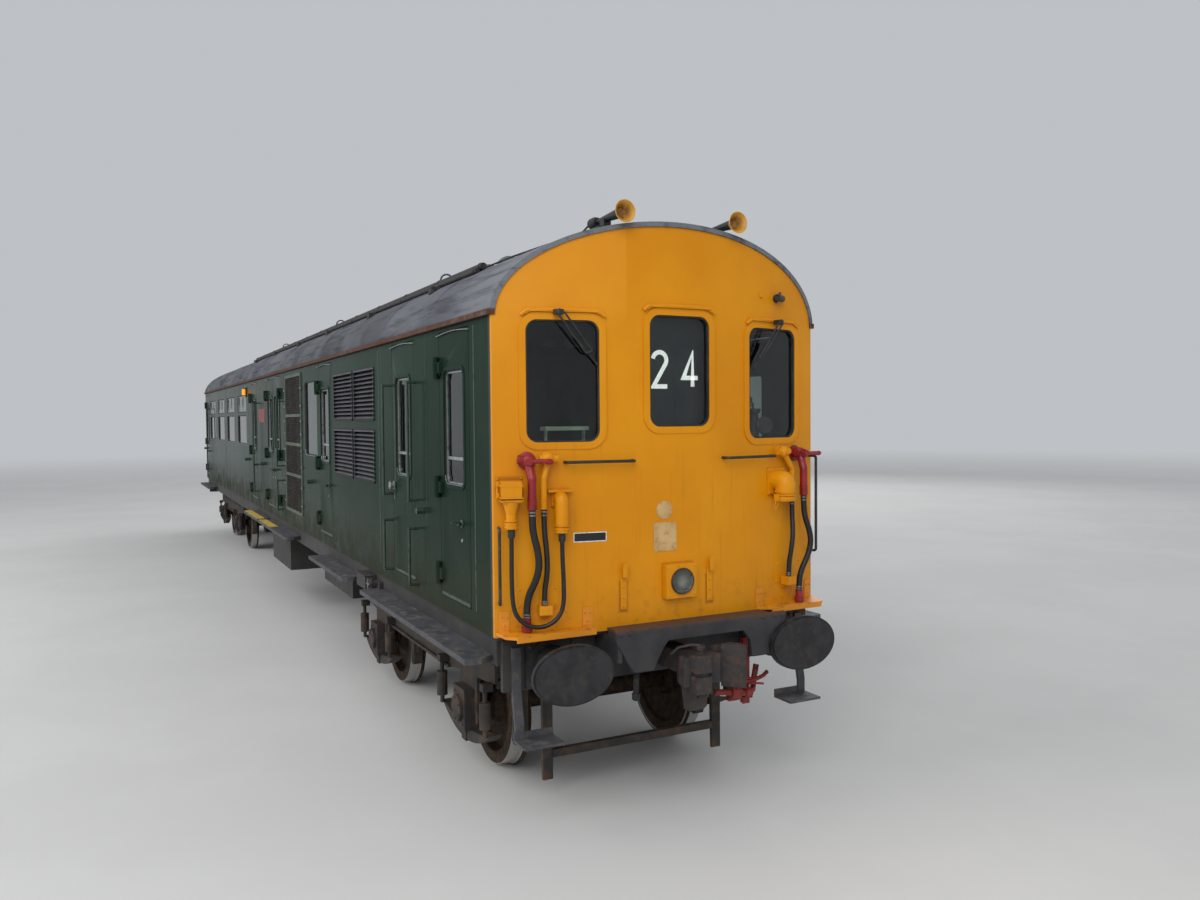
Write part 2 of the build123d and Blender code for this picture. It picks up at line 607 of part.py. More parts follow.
def lifeguards():
    """The rail guards ahead of the leading wheels, with the bar between them."""
    centre, wheelbase, wheel_r, motor = BOGIES[0]
    back = centre + frame_end(wheelbase, wheel_r) - 8 + SEAT
    tip = back + LIFEGUARD_AHEAD
    inside = LIFEGUARD_HALF - LIFEGUARD_WIDE / 2 - SEAT
    solids = [block(tip - 34, tip + 10, -inside, inside, 262, 318)]
    for side in (-1, 1):
        y = side * LIFEGUARD_HALF
        guard = block(back, tip, y - LIFEGUARD_WIDE / 2, y + LIFEGUARD_WIDE / 2, BOGIE_TOP - 105, BOGIE_TOP - 35)
        guard += side_plate([(tip - 34, BOGIE_TOP - 35), (tip, BOGIE_TOP - 35), (tip, LIFEGUARD_LOW),
                             (tip - 24, LIFEGUARD_LOW), (tip - 34, 420)],
                            y - LIFEGUARD_WIDE / 2, y + LIFEGUARD_WIDE / 2)
        solids.append(guard)
    return solids


def traction_motors(centre, wheelbase, wheel_r):
    """Two axle-hung motors, each a drum with a suspension tube round the axle."""
    solids = []
    for end in (-1, 1):
        axle = end * wheelbase / 2
        drum_x = axle - end * 500
        drum = rod((drum_x, -430, wheel_r + 25), (drum_x, 430, wheel_r + 25), 305)
        tube = rod((axle, -400, wheel_r), (axle, 400, wheel_r), AXLE_R + 55)
        tube += block(axle, drum_x, -360, 360, wheel_r - 90, wheel_r + 90)
        motor = drum + tube
        motor -= rod((axle, -700, wheel_r), (axle, 700, wheel_r), AXLE_R + RUNNING)
        nose = block(drum_x, end * (TRANSOM + TRANSOM_HALF + SEAT), -150, 150, FRAME_LOW + 45, FRAME_LOW + 110)
        motor += nose
        solids.append(motor)
    return [Pos(centre, 0, 0) * s for s in solids]


def gangway_parts():
    """Bellows and face plate of the gangway at the rear end."""
    back = -BODY_LENGTH - SEAT
    half, foot, head = 500, 1290, 3360
    plate_x = -BODY_LENGTH - GANGWAY_REACH
    folds = 4
    pitch = (GANGWAY_REACH - 40 - 2 * SEAT) / folds
    bellows = None
    for i in range(folds):
        x1 = back - i * pitch
        x0 = x1 - pitch
        waist = block(x0, x1, -half + 40, half - 40, foot + 40, head - 40)
        ridge = block(x0 + pitch * 0.22, x1 - pitch * 0.22, -half, half, foot, head)
        fold = waist + ridge
        bellows = fold if bellows is None else bellows + fold
    hole = block(plate_x - 10, back + 10, -half + 90, half - 90, foot + 60, head - 90)
    bellows -= hole
    plate = block(plate_x, plate_x + 40, -half - 20, half + 20, foot - 30, head + 20) - hole
    return [bellows], [plate]


REAR_DOOR_HALF = 330
REAR_DOOR_HEAD = 3200


REAR_HINGE_Z = (1600, 2900)


def rear_end():
    """Rear end wall: a panel each side of the gangway doorway, one over it, one under it, and the hinges."""
    back = -BODY_LENGTH
    wall = arch(HALF_WIDTH, CANTRAIL_TOP - SEAT, ROOF_HALF - ROOF_THICK - SEAT, ROOF_RISE - ROOF_THICK - SEAT,
                SILL_BOTTOM + SEAT, back, back + SKIN)
    half = REAR_DOOR_HALF
    solids = [wall & block(back - 10, back + 100, side * half, side * 1400, 1200, 4000) for side in (-1, 1)]
    solids.append(wall & block(back - 10, back + 100, -half + SEAT, half - SEAT, REAR_DOOR_HEAD, 4000))
    solids.append(wall & block(back - 10, back + 100, -half + SEAT, half - SEAT, 1200, FLOOR_TOP))
    for z in REAR_HINGE_Z:
        fixture = hinge_fixture(0, 1, -DOOR_LEAF - HINGE_PROUD, -SKIN - SEAT, z, INNER_HINGE_R - 1)
        solids.append(Pos(back, half - HINGE_GAP, 0) * Rot(0, 0, 90) * fixture)
    return solids


def rear_door():
    """The door in the rear end, hinged on the left and opening inwards."""
    back = -BODY_LENGTH
    y0, y1 = -REAR_DOOR_HALF + LATCH_GAP, REAR_DOOR_HALF - HINGE_GAP
    leaf = block(back, back + DOOR_LEAF, y0, y1, FLOOR_TOP + HINGE_GAP, REAR_DOOR_HEAD - HINGE_GAP)
    hole = slot_box(200, 340, 620, 50)
    leaf -= Pos(back, (y0 + y1) / 2, 2560) * hole
    pin_x = back + DOOR_LEAF + HINGE_PROUD
    for z in REAR_HINGE_Z:
        leaf += rod((pin_x, y1, z - HINGE_HIGH / 2), (pin_x, y1, z + HINGE_HIGH / 2), INNER_HINGE_R)
        leaf += block(back + DOOR_LEAF - 2, pin_x, y1, y1 - 75, z - 40, z + 40)
        leaf -= pin_hole(pin_x, y1, z)
    pane = Pos(back + 26, (y0 + y1) / 2, 2560) * slot_box(GLASS, 340 - 2 * SEAT, 620 - 2 * SEAT, 50)
    return [leaf, pane]


# Cross walls: x of the front face, whether a person can walk through.
PARTITIONS = [(-1380, True), (-2640, False), (-7930, False), (-10450, True), (-11330, True),
              (END_PARTITION, True)]
PARTITION_THICK = 36
PASSAGE_HALF = 320
PASSAGE_HEAD = 3200


def partitions():
    """Walls across the car, each made of two sides and a head over its doorway."""
    solids = []
    half = WALL_IN - SEAT
    for x, passage in PARTITIONS:
        wall = arch(half, CANTRAIL_TOP - 10, ROOF_HALF - ROOF_THICK - 70, ROOF_RISE - ROOF_THICK - 20,
                    FLOOR_TOP + SEAT, x - PARTITION_THICK, x)
        if not passage:
            solids.append(wall)
            continue
        for side in (-1, 1):
            solids.append(wall & block(x - 100, x + 10, side * PASSAGE_HALF, side * 1400, 1200, 4000))
        lintel = wall & block(x - 100, x + 10, -PASSAGE_HALF + SEAT, PASSAGE_HALF - SEAT, PASSAGE_HEAD, 4000)
        solids.append(lintel)
    return solids


# Engine and generator: x front, x rear, half width, height above the floor.
ENGINE = (-2950, -6250, 470, 1480)


def engine_block():
    """The diesel engine and its generator as one plain mass on the deck."""
    front, rear, half, high = ENGINE
    return block(rear, front, -half, half, FLOOR_TOP + SEAT, FLOOR_TOP + high)


# Saloon seats, four bays of two facing pairs on each side of the passage.
SEAT_WIDE = 860
SEAT_DEEP = 470
SEAT_TOP = 460
BACK_HIGH = 1150
SEAT_BACK_THICK = 30
CUSHION_THICK = 130
CAB_SEAT_Y = 760


def seat_pair(x, facing, y0):
    """A double seat: frame pieces and padded pieces. Facing is +1 towards the cab."""
    floor = FLOOR_TOP + SEAT
    y1 = y0 + SEAT_WIDE
    pan = floor + SEAT_TOP - CUSHION_THICK
    front = x + facing * SEAT_DEEP
    frames = [block(x + facing * SEAT, front - facing * 30, y0 + 20, y1 - 20, floor, pan),
              block(x, x - facing * SEAT_BACK_THICK, y0, y1, floor, floor + BACK_HIGH)]
    pads = [block(x + facing * SEAT, front, y0, y1, pan + SEAT, floor + SEAT_TOP),
            block(x + facing * SEAT, x + facing * 110, y0, y1, floor + SEAT_TOP + SEAT, floor + BACK_HIGH - 20)]
    return frames, pads


def seats():
    """All seat frames, and all cushions with their squabs."""
    frames, pads = [], []
    for bay in range(BAYS):
        middle = BAY_FIRST - bay * BAY
        for facing in (-1, 1):
            x = middle - facing * (BAY / 2 - SEAT_BACK_FROM_BAY_END)
            for y0 in (-WALL_IN + 12, WALL_IN - 12 - SEAT_WIDE):
                more_frames, more_pads = seat_pair(x, facing, y0)
                frames += more_frames
                pads += more_pads
    floor = FLOOR_TOP + SEAT
    for y in (-CAB_SEAT_Y, CAB_SEAT_Y):
        stand = rod((-820, y, floor), (-820, y, floor + 430), 45)
        frames.append(stand + block(-1010, -640, y - 190, y + 190, floor + 430, floor + 452))
        frames.append(block(-1040, -1010 - SEAT, y - 190, y + 190, floor + 430, floor + 1000))
        pads.append(block(-1005, -630, y - 200, y + 200, floor + 452 + SEAT, floor + 540))
        pads.append(block(-1010, -930, y - 190, y + 190, floor + 540 + SEAT, floor + 980))
    return frames, pads


DESK_BACK = -56.4            # a seat gap behind the front wall at its ends
SHELF_TOP = 2462


def cab_desk():
    """Driver's desk on the left, the second man's shelf on the right."""
    floor = FLOOR_TOP + SEAT
    profile = [(DESK_BACK, floor), (DESK_BACK, 2330), (-90, 2360), (-360, 2270), (-390, 2210), (-390, 2150), (-260, 2100),
               (-260, floor)]
    desk = side_plate(profile, 330, 1150)
    desk += rod((-270, 620, 2290), (-270, 620, 2400), 38)
    desk += rod((-270, 620, 2400), (-270, 760, 2430), 13)
    desk += block(-240, -150, 860, 1010, 2300, 2420)
    shelf = block(DESK_BACK, -360, -1150, -420, SHELF_TOP - 22, SHELF_TOP)
    shelf += block(DESK_BACK, -100, -1150, -420, floor, SHELF_TOP - 12)
    return [desk, shelf]


BEAM_FACE = 340
BEAM_THICK = 30
BEAM_TOP = 1285


def beam_plate():
    """The plate under the cab front with its coupler opening, and the webs that carry it."""
    outline = [(-570, BEAM_TOP), (752, BEAM_TOP), (752, 1150), (640, 1010), (470, 1010), (455, 1120), (400, 1190),
               (-190, 1190), (-225, 1150), (-275, 1065), (-300, 1010), (-440, 1010), (-500, 1100), (-570, 1215)]
    sheet = make_face(Polyline(*[(0, y, z) for y, z in outline], close=True))
    plate = Pos(BEAM_FACE - BEAM_THICK, 0, 0) * extrude(sheet, amount=BEAM_THICK, dir=(1, 0, 0))
    plate += block(BOW + 6, BEAM_FACE - 5, -560, 630, BEAM_TOP - 22, BEAM_TOP)
    under = SILL_BOTTOM - SEAT - DECK_THICK - SEAT
    for y in (-540, 620):
        plate += block(SEAT, BEAM_FACE - 10, y - 14, y + 14, 1080, under)
        plate += block(BOW + 6, BEAM_FACE - 10, y - 14, y + 14, under - 10, BEAM_TOP - 5)
    return [plate]


def buffer(y):
    """A buffer with an oval head, a ram and its stepped housing."""
    z = BUFFER_Z
    plate = Plane.YZ * Ellipse(275, 187)
    head = Pos(BUFFER_FACE - 38, y, z) * extrude(plate, amount=26, dir=(1, 0, 0))
    dish = Pos(BUFFER_FACE - 12, y, z) * extrude(Plane.YZ * Ellipse(262, 174), amount=12, dir=(1, 0, 0))
    whole = head + dish
    whole += rod((180, y, z), (BUFFER_FACE - 30, y, z), 82)
    whole += rod((30, y, z), (230, y, z), 118)
    whole += rod((SEAT, y, z), (40, y, z), 165)
    whole += block(SEAT, 32, y - 175, y + 175, z - 150, z + 150)
    return whole


KNUCKLE_AT = (-74, -40)      # middle of the coupler's knuckle behind its face and beside its middle
KNUCKLE_R = 72


def coupler():
    """An automatic coupler seen from its end: shank, head, knuckle lugs and guard arm, face at x = 0."""
    x, y = KNUCKLE_AT
    head = flat_plate([(-300, -80), (-190, -135), (-105, -150), (x, y), (-118, 40), (-96, 120), (-110, 170),
                       (-200, 140), (-300, 80)], 905, 1095)
    for low, high in ((874, 982), (1006, 1118)):
        head += rod((x, y, low), (x, y, high), KNUCKLE_R)
        head += flat_plate([(x - 20, y - KNUCKLE_R), (-6, y - KNUCKLE_R), (-2, y - 40), (-2, y + 34),
                            (x + 20, y + KNUCKLE_R), (x - 60, y + KNUCKLE_R)], low, high)
    head += rod((x, y, 860), (x, y, 1130), 34) + rod((x, y, 870), (x, y, 1120), 56)
    shank = block(-COUPLER_REACH - BOW + SEAT, -280, -72, 72, 945, 1085)
    arm = flat_plate([(-200, 120), (-110, 150), (-40, 214), (-2, 246), (-2, 264), (-66, 262), (-210, 178)], 900, 1128)
    arm += flat_plate([(-120, 146), (-40, 214), (-2, 246), (-2, 264), (-66, 262), (-130, 222)], 872, 1150)
    drop = side_plate([(-230, 910), (-60, 910), (-84, 770), (-120, 740), (-190, 740)], -96, 10)
    return head + shank + arm + drop


def couplers():
    """The front coupler and the rear one under the gangway."""
    front = Pos(FRONT_REACH, 0, 0) * coupler()
    back = Rot(0, 0, 180) * coupler()
    back = Pos(-BODY_LENGTH - COUPLER_REACH, 0, 0) * back
    back -= block(-BODY_LENGTH - SEAT, -BODY_LENGTH + 400, -300, 300, 600, 1300)
    return [front, back]


STEP_TOP = 1290
STEP_FRONT = 206


def cab_steps():
    """The two steps at the foot of the cab front, with their upright brackets."""
    solids = []
    for side, inner_front in ((-1, 640), (1, 746)):
        outline = [(14, 1246), (150, 1235), (STEP_FRONT, 1180), (STEP_FRONT, inner_front)]
        outline += [(face_x(y) + 3, y) for y in (640, 800, 950, 1100)]
        tread = flat_plate([(x, side * y) for x, y in outline], STEP_TOP - 18, STEP_TOP)
        tread += block(STEP_FRONT - 16, STEP_FRONT, side * inner_front, side * 1180, STEP_TOP - 38, STEP_TOP)
        for y in (672, 1195):
            bracket = on_face(side * y, STEP_TOP + 55, 5) * Box(8, 66, 150)
            tread += bracket
        solids.append(tread)
    return solids


# Side footboards: front end, rear end, height, half width they reach.
FOOTBOARDS = [(-70, -2900, 1120, 1420), (-3600, -5330, 1120, 1420), (-6909, -9362, 1150, 1420),
              (-9494, -11028, 1150, 1420), (2195 - BODY_LENGTH, 271 - BODY_LENGTH, 1150, 1420)]


def footboards():
    """Right-hand footboards on brackets from the solebar."""
    solids = []
    for front, rear, top, reach in FOOTBOARDS:
        inner = SOLEBAR_HALF + SEAT
        outline = [(front - 60, -inner), (rear + 60, -inner), (rear, -inner - 90), (rear, -reach),
                   (front - 20, -reach), (front, -reach + 50), (front, -inner - 90)]
        board = flat_plate(outline, top - 38, top)
        count = max(2, round((front - rear) / 900))
        for i in range(count):
            x = front - 150 - i * (front - rear - 300) / (count - 1)
            board += block(x - 12, x + 12, -inner - 8, -reach + 40, top - 60, top - 30)
            board += block(x - 30, x + 30, -inner - 12, -inner, top - 60, top - 30)
        solids.append(board)
    return solids


def corner_footsteps():
    """The low footsteps that hang from the front headstock's corners."""
    solids = []
    for side in (-1, 1):
        tread = block(40, 230, side * BUFFER_HALF, side * 1150, 590, 606)
        tread += block(40, 52, side * BUFFER_HALF, side * 1150, 590, 650)
        strap = side_plate([(SEAT, 1180), (22, 1180), (22, 900), (60, 700), (60, 598), (42, 598), (42, 690), (SEAT, 890)],
                           side * 1085, side * 1145)
        solids.append(tread + strap)
    return solids


def headlamp():
    """The square headlamp box with its round lens."""
    y, z = -28, 1547
    box = on_face(y, z, 0) * Box(110, 232, 224)
    box &= on_face(y, z, SEAT + 100) * Box(200, 400, 400)
    box += on_face(y, z, 52) * Rot(0, 90, 0) * Cylinder(88, 22)
    lens = on_face(y, z, 68) * Rot(0, 90, 0) * Cylinder(76, 9.2)
    return [box], [lens]


def lamp_irons():
    """Two lamp irons on the cab front."""
    solids = []
    for y in (-427, 225):
        iron = on_face(y, 1520, SEAT + 4) * Box(8, 44, 270)
        iron += on_face(y, 1600, 20) * Box(38, 30, 12)
        iron += on_face(y, 1640, 36) * Box(8, 34, 90)
        solids.append(iron)
    return solids


def cab_handrails():
    """Black handrails on the cab front, each a bar bent back to its feet."""
    solids = []
    for y0, y1 in ((-812, -362), (345, 790)):
        z, out = 2348, 62
        pts = [on_face(y0, z, SEAT), on_face(y0, z, out), on_face(y1, z, out), on_face(y1, z, SEAT)]
        solids.append(bent_bar([p.position for p in pts], 10, 18))
    for y, z0, z1 in ((-1222, 1475, 1944), (1208, 1640, 2335)):
        out = 75
        pts = [on_face(y, z0, SEAT), on_face(y, z0, out), on_face(y, z1, out), on_face(y, z1, SEAT)]
        solids.append(bent_bar([p.position for p in pts], 10, 18))
    return solids


# Side handrails: x, foot, head
HANDRAILS = [(-1650, 2000, 2910), (-1650, 1345, 1780), (-2400, 2000, 2910), (-2400, 1365, 1780),
             (-8120, 2000, 2885), (-8120, 1400, 1800), (-10470, 1500, 2900),
             (970 - BODY_LENGTH, 1500, 2900)]


def side_handrails():
    """Upright grab rails beside the right-hand doorways."""
    y, out = -HALF_WIDTH - SEAT, -HALF_WIDTH - 68
    solids = []
    for x, foot, head in HANDRAILS:
        rail = rod((x, out, foot - 11), (x, out, head + 11), 11)
        for z in (foot, head):
            rail += rod((x, y, z), (x, out, z), 11)
        solids.append(rail)
    return solids


# Bump stops that catch the open doors: x, z
BUMP_STOPS = [(-1483, 1932), (-5998, 1900), (-9860, 1962), (-11700, 1966), (70 - BODY_LENGTH, 1966)]


def bump_stops():
    """Rubber buffers on the right-hand side for doors thrown back."""
    return [rod((x, -HALF_WIDTH - SEAT, z), (x, -HALF_WIDTH - BUMPER, z), 24) for x, z in BUMP_STOPS]


def horns():
    """Two horns above the cab front, each a bell on a tapering stem."""
    solids = []
    for side in (-1, 1):
        y = side * 433
        z = 3932
        tip, mouth = 40, 245
        bell = taper((mouth - 70, y, z), (mouth, y, z), 34, 73)
        bell += taper((tip - 190, y, z), (mouth - 70, y, z), 15, 34)
        bell -= taper((mouth - 58, y, z), (mouth + 1, y, z), 26, 69)
        bell += block(-60, 0, y - 26, y + 26, roof_z(abs(y) - 26) + SEAT, z)
        bell += rod((-230, y, z), (-140, y, z), 30)
        solids.append(bell)
    return solids


def wipers():
    """Two pantograph wipers hung from above the side windows."""
    solids = []
    for (y0, z0), (y1, z1) in (((-850, 3272), (-650, 2960)), ((800, 3272), (625, 2965))):
        top = on_face(y0, z0, 46).position
        foot = on_face(y1, z1, 46).position
        arm = rod(top, foot, 7)
        arm += Location(top) * Box(46, 60, 34)
        arm += rod(on_face(y0, z0, SURROUND_PROUD + SEAT).position, top, 12)
        blade_a = on_face(y1 + (45 if y0 < 0 else -45) * -1, z1 + 160, 40).position
        blade_b = on_face(y1 + (45 if y0 < 0 else -45), z1 - 170, 40).position
        arm += rod(foot, on_face(y1, z1, 36).position, 9)
        arm += rod(blade_a, blade_b, 8)
        solids.append(arm)
    return solids


SOCKET_OUT = 82
JUMPER_LOW_END = 1946
JUMPER_HIGH_END = 1912


def jumper_gear():
    """Yellow sockets, elbows, cocks and cable holders on the cab front."""
    solids = []
    socket = on_face(-1153, 2175, 72) * Box(120, 126, 130)
    socket += on_face(-1153, 2180, 9) * Box(16, 120, 90)
    socket += on_face(-1153, 2215, 70) * Box(130, 140, 14)
    socket_end = on_face(-1153, 0, SOCKET_OUT).position
    x, y = socket_end.X, socket_end.Y
    socket += taper((x, y, 2112), (x, y, 2040), 52, 34) + rod((x, y, 2045), (x, y, 1966), 32)
    socket += rod((x, y, 1985), (x, y, JUMPER_LOW_END), 40)
    solids.append(socket)
    solids.append(elbow(-850, 2122, SOCKET_OUT, 38, JUMPER_HIGH_END))
    solids.append(elbow(842, 2168, 92, 64, 2032))
    for y, z, foot_y, foot_out in ((-921, 2372, -957, 58), (880, 2376, 975, 30)):
        cock = on_face(y, z, 44) * Sphere(40)
        cock += on_face(y, z, 8 + SEAT) * Rot(0, 90, 0) * Cylinder(34, 16)
        cock += on_face(y, z, 44) * Rot(90, 0, 0) * Cylinder(24, 120)
        cock += rod(on_face(y, z, 44).position, on_face(foot_y, 2250, foot_out + 12).position, 21)
        cock += rod(on_face(foot_y, 2256, foot_out + 12).position, hose_top(foot_y, foot_out), 20)
        solids.append(cock)
    for y, z, out in ((-952, 1428, 52), (925, 1455, 52)):
        holder = on_face(y, z, out) * Box(70, 84, 58)
        holder += on_face(y, z - 10, 12) * Box(22, 60, 90)
        solids.append(holder)
    return solids


HOSE_TOP_Z = 2060


def hose_top(y, out):
    """Where an air hose joins its pipe, near the cab front."""
    p = on_face(y, 0, out + 12).position
    return (p.X, p.Y, HOSE_TOP_Z)


def elbow(y, z, out, radius, foot):
    """A pipe out of the cab front that turns down, on a square flange."""
    p = on_face(y, z, out).position
    piece = on_face(y, z, 7 + SEAT) * Box(14, 2.6 * radius, 2.9 * radius)
    piece += rod(on_face(y, z, 4).position, p, radius)
    piece &= on_face(y, z, SEAT + 150) * Box(300, 500, 500)
    piece += Location(p) * Sphere(radius * 1.02)
    piece += rod(p, (p.X, p.Y, foot), radius * 0.96)
    piece += rod((p.X, p.Y, foot + 34), (p.X, p.Y, foot), radius * 1.16)
    return piece


DUMMY_COUPLINGS = ((100, -1075), (150, 1022))
DUMMY_TOP = 1378


def brake_cocks():
    """Red brake cocks with their pipes and the dummy couplings on the steps."""
    solids = []
    for y, lever_y, foot_y in ((-1048, -915, -1031), (1045, 1200, 1037)):
        side = 1 if lever_y > y else -1
        z = 2360
        cock = on_face(y, z, 58) * Sphere(42)
        cock += on_face(y, z, 20) * Rot(0, 90, 0) * Cylinder(30, 39)
        cock += rod(on_face(y, z, 66).position, on_face(y, z, 112).position, 24)
        cock += rod(on_face(y, z, 105).position, on_face(lever_y, z, 105).position, 14)
        cock += rod(on_face(y - side * 62, z + 14, 62).position, on_face(y, z, 58).position, 28)
        top = on_face(foot_y, 2250, 96).position
        foot = (top.X, top.Y, HOSE_TOP_Z)
        cock += rod(on_face(y, z, 58).position, top, 28) + Location(top) * Sphere(27.5)
        cock += rod(top, foot, 27)
        solids.append(cock)
    for x, y in DUMMY_COUPLINGS:
        solids.append(rod((x, y, STEP_TOP + SEAT), (x, y, DUMMY_TOP), 27) + rod((x, y, 1300), (x, y, 1326), 34))
    return solids


CABLE_BEND = 0.45           # share of the shorter run that an arc takes


def cable(points, radius):
    """A hanging cable or hose: straight runs joined by arcs as large as they allow."""
    runs = [(Vector(*b) - Vector(*a)) for a, b in zip(points[:-1], points[1:])]
    radii = []
    for one, two in zip(runs[:-1], runs[1:]):
        turn = radians(one.get_angle(two))
        radii.append(CABLE_BEND * min(one.length, two.length) / tan(turn / 2))
    path = FilletPolyline(*points, radius=radii)
    start = Plane(origin=path @ 0, z_dir=path % 0)
    tube = sweep(start * Circle(radius), path=path)
    expected = pi * radius ** 2 * path.length
    print(f"cable length {path.length:.0f} radii {min(radii):.0f} to {max(radii):.0f}"
          f" volume ratio {tube.volume / expected:.4f}")
    return tube


JUMPER_LOW = 1330
JUMPER_LEAN = 22


def jumper_points():
    """The jumper's U between its socket and its elbow, leaning a little forward at the bottom."""
    a, b = on_face(-1153, 0, SOCKET_OUT).position, on_face(-850, 0, SOCKET_OUT).position
    width = (b - a).length
    half = width / 2
    corner = half / cos(radians(15))
    flat = [(0, JUMPER_LOW_END - SEAT), (0, 1806), (-5, 1606)]
    for turn in range(195, 360, 30):
        flat.append((half + corner * cos(radians(turn)), JUMPER_LOW + half + corner * sin(radians(turn))))
    flat += [(width + 5, 1590), (width, 1778), (width, JUMPER_HIGH_END - SEAT)]
    points = []
    for along, z in flat:
        lean = JUMPER_LEAN * max(0, 1778 - z) / (1778 - JUMPER_LOW)
        p = a + (b - a) * (along / width)
        points.append((p.X + lean, p.Y, z))
    return points


def hose_points(points, end_z):
    """Points of a hose with its first one seated just under the pipe and its last just over the holder."""
    first, last = points[0], points[-1]
    return [(first[0], first[1], HOSE_TOP_Z - SEAT)] + points + [(last[0], last[1], end_z + SEAT)]


left_hose = on_face(-1031, 0, 96).position
right_hose = on_face(1037, 0, 96).position
left_air, right_air = hose_top(-957, 58), hose_top(975, 30)
left_hold, right_hold = on_face(-955, 0, 52).position, on_face(928, 0, 52).position

# Hanging cables: name, radius, points in x, y and z from socket to holder.
CABLES = [
    ("jumper_cable", 14, jumper_points()),
    ("brake_hose_left", 22, hose_points(
        [(left_hose.X, left_hose.Y, 1975), (157, -1047, 1900), (165, -1022, 1800), (167, -1015, 1700),
         (145, -1034, 1610), (112, -1064, 1530), DUMMY_COUPLINGS[0] + (1450,)], DUMMY_TOP)),
    ("air_hose_left", 17, hose_points(
        [(left_air[0], left_air[1], 1930), (166, -962, 1780), (162, -960, 1650), (left_hold.X, left_hold.Y, 1560)],
        1457)),
    ("brake_hose_right", 20.5, hose_points(
        [(right_hose.X, right_hose.Y, 1975), (159, 1072, 1890), (171, 1102, 1800), (174, 1110, 1710),
         (167, 1086, 1620), (156, 1045, 1540), DUMMY_COUPLINGS[1] + (1460,)], DUMMY_TOP)),
    ("air_hose_right", 17, hose_points(
        [(right_air[0], right_air[1], 1930), (146, 972, 1790), (152, 950, 1670), (right_hold.X, right_hold.Y, 1580)],
        1484)),
]

ROOF_VENTS = [(-1860, -380), (-2330, -380), (-12450, 0), (-14200, 0), (-15950, 0), (-17700, 0), (-9100, 0)]


VENT_R = 100                # dome ventilators
VENT_RISE = 62


def roof_fittings():
    """Dome ventilators, exhaust, hatch and lifting eyes on the roof."""
    solids = []
    for x, y in ROOF_VENTS:
        low = roof_z(max(abs(y) - 95, 0)) + SEAT
        vent = rod((x, y, low), (x, y, low + 26), VENT_R - 8)
        ball_r = (VENT_R ** 2 + VENT_RISE ** 2) / (2 * VENT_RISE)
        cap = Pos(x, y, low + 24 + VENT_RISE - ball_r) * Sphere(ball_r)
        solids.append(vent + (cap & block(x - 120, x + 120, y - 120, y + 120, low + 24, low + 200)))
    top = CANTRAIL_TOP + ROOF_RISE
    solids.append(rod((-4700, 0, top + SEAT), (-4700, 0, top + 70), 130))
    solids.append(block(-6150, -5150, -300, 300, roof_z(0) + SEAT, roof_z(0) + 40))
    return solids


def underfloor_gear():
    """Fuel tank, battery boxes, reservoirs and compressor between the bogies."""
    top = SILL_BOTTOM - SEAT - DECK_THICK - SEAT
    solids = []
    for x0, x1, y0, y1, z0 in ((-7100, -5500, -900, 900, 560), (-9900, -8300, -1130, -560, 520),
                               (-9900, -8300, 560, 1130, 520), (-12200, -11500, -500, 500, 600)):
        solids.append(block(x0, x1, y0, y1, z0, top))
    for x, y in ((-10300, -760), (-10300, 760), (-13000, -500), (-13000, 500)):
        tank = rod((x, y, 880), (x - 1100, y, 880), 190)
        for band in (250, 850):
            tank += block(x - band - 25, x - band + 25, y - 30, y + 30, 1000, top)
        solids.append(tank)
    return solids


def floor():
    """The floor boards on the deck."""
    return block(-BODY_LENGTH + SKIN + SEAT, FLOOR_FRONT, -WALL_IN + SEAT, WALL_IN - SEAT,
                 SILL_BOTTOM + SEAT, FLOOR_TOP)


# Build and save every node
save("side_walls", both_sides(side_wall() + door_hinges()))
save("cab_front", [cab_front()])
lamp, lens = headlamp()
save("cab_glass", cab_glass() + lens)
save("roof", roof())
save("underframe", underframe())
save("floor", [floor()])
save("rear_end", rear_end())
bellows, face_plate = gangway_parts()
save("gangway_bellows", bellows)
save("gangway_plate", face_plate)
save("partitions", partitions())
save("side_glass", both_sides(side_glass()))
save("engine_block", [engine_block()] + both_sides([radiator_core()]))
save("louvres", both_sides([louvre(row) for row in LOUVRES]))
save("radiator_grilles", both_sides([radiator_grille()]))
frames, pads = seats()
save("seat_frames", frames)
save("seat_cushions", pads)
save("cab_desk", cab_desk() + [headcode_box()])
save("beam_plate", beam_plate())
save("buffers", [buffer(y) for y in (-BUFFER_HALF, BUFFER_HALF)])
save("couplers", couplers())
save("cab_steps", cab_steps())
save("footboards", both_sides(footboards()) + corner_footsteps())
save("lamp_fittings", lamp + lamp_irons())
save("cab_handrails", cab_handrails())
save("side_fittings", both_sides(side_handrails() + bump_stops()))
save("horns", horns())
save("wipers", wipers())
save("jumper_gear", jumper_gear())
save("brake_cocks", brake_cocks())
for name, radius, points in CABLES:
    save(name, [cable(points, radius)])
save("roof_fittings", roof_fittings())
save("underfloor_gear", underfloor_gear())
for label, (centre, wheelbase, wheel_r, motor) in zip(BOGIE_NAMES, BOGIES):
    save(f"bogie_frame_{label}", bogie_frame(centre, wheelbase, wheel_r))
    gear = running_gear(centre, wheelbase, wheel_r)
    save(f"running_gear_{label}", gear if motor else gear + lifeguards())
    for end, axle in (("leading", centre + wheelbase / 2), ("trailing", centre - wheelbase / 2)):
        save(f"wheelset_{label}_{end}", wheelset(axle, wheel_r))
    if motor:
        save("traction_motors", traction_motors(centre, wheelbase, wheel_r))
for row in DOORS:
    pieces = door(row)
    save(f"{row[0]}_right", pieces)
    save(f"{row[0]}_left", [mirror(s, about=Plane.XZ) for s in pieces])
save("rear_door", rear_door())
print("nodes", len(solid_counts), "solids", sum(solid_counts.values()))
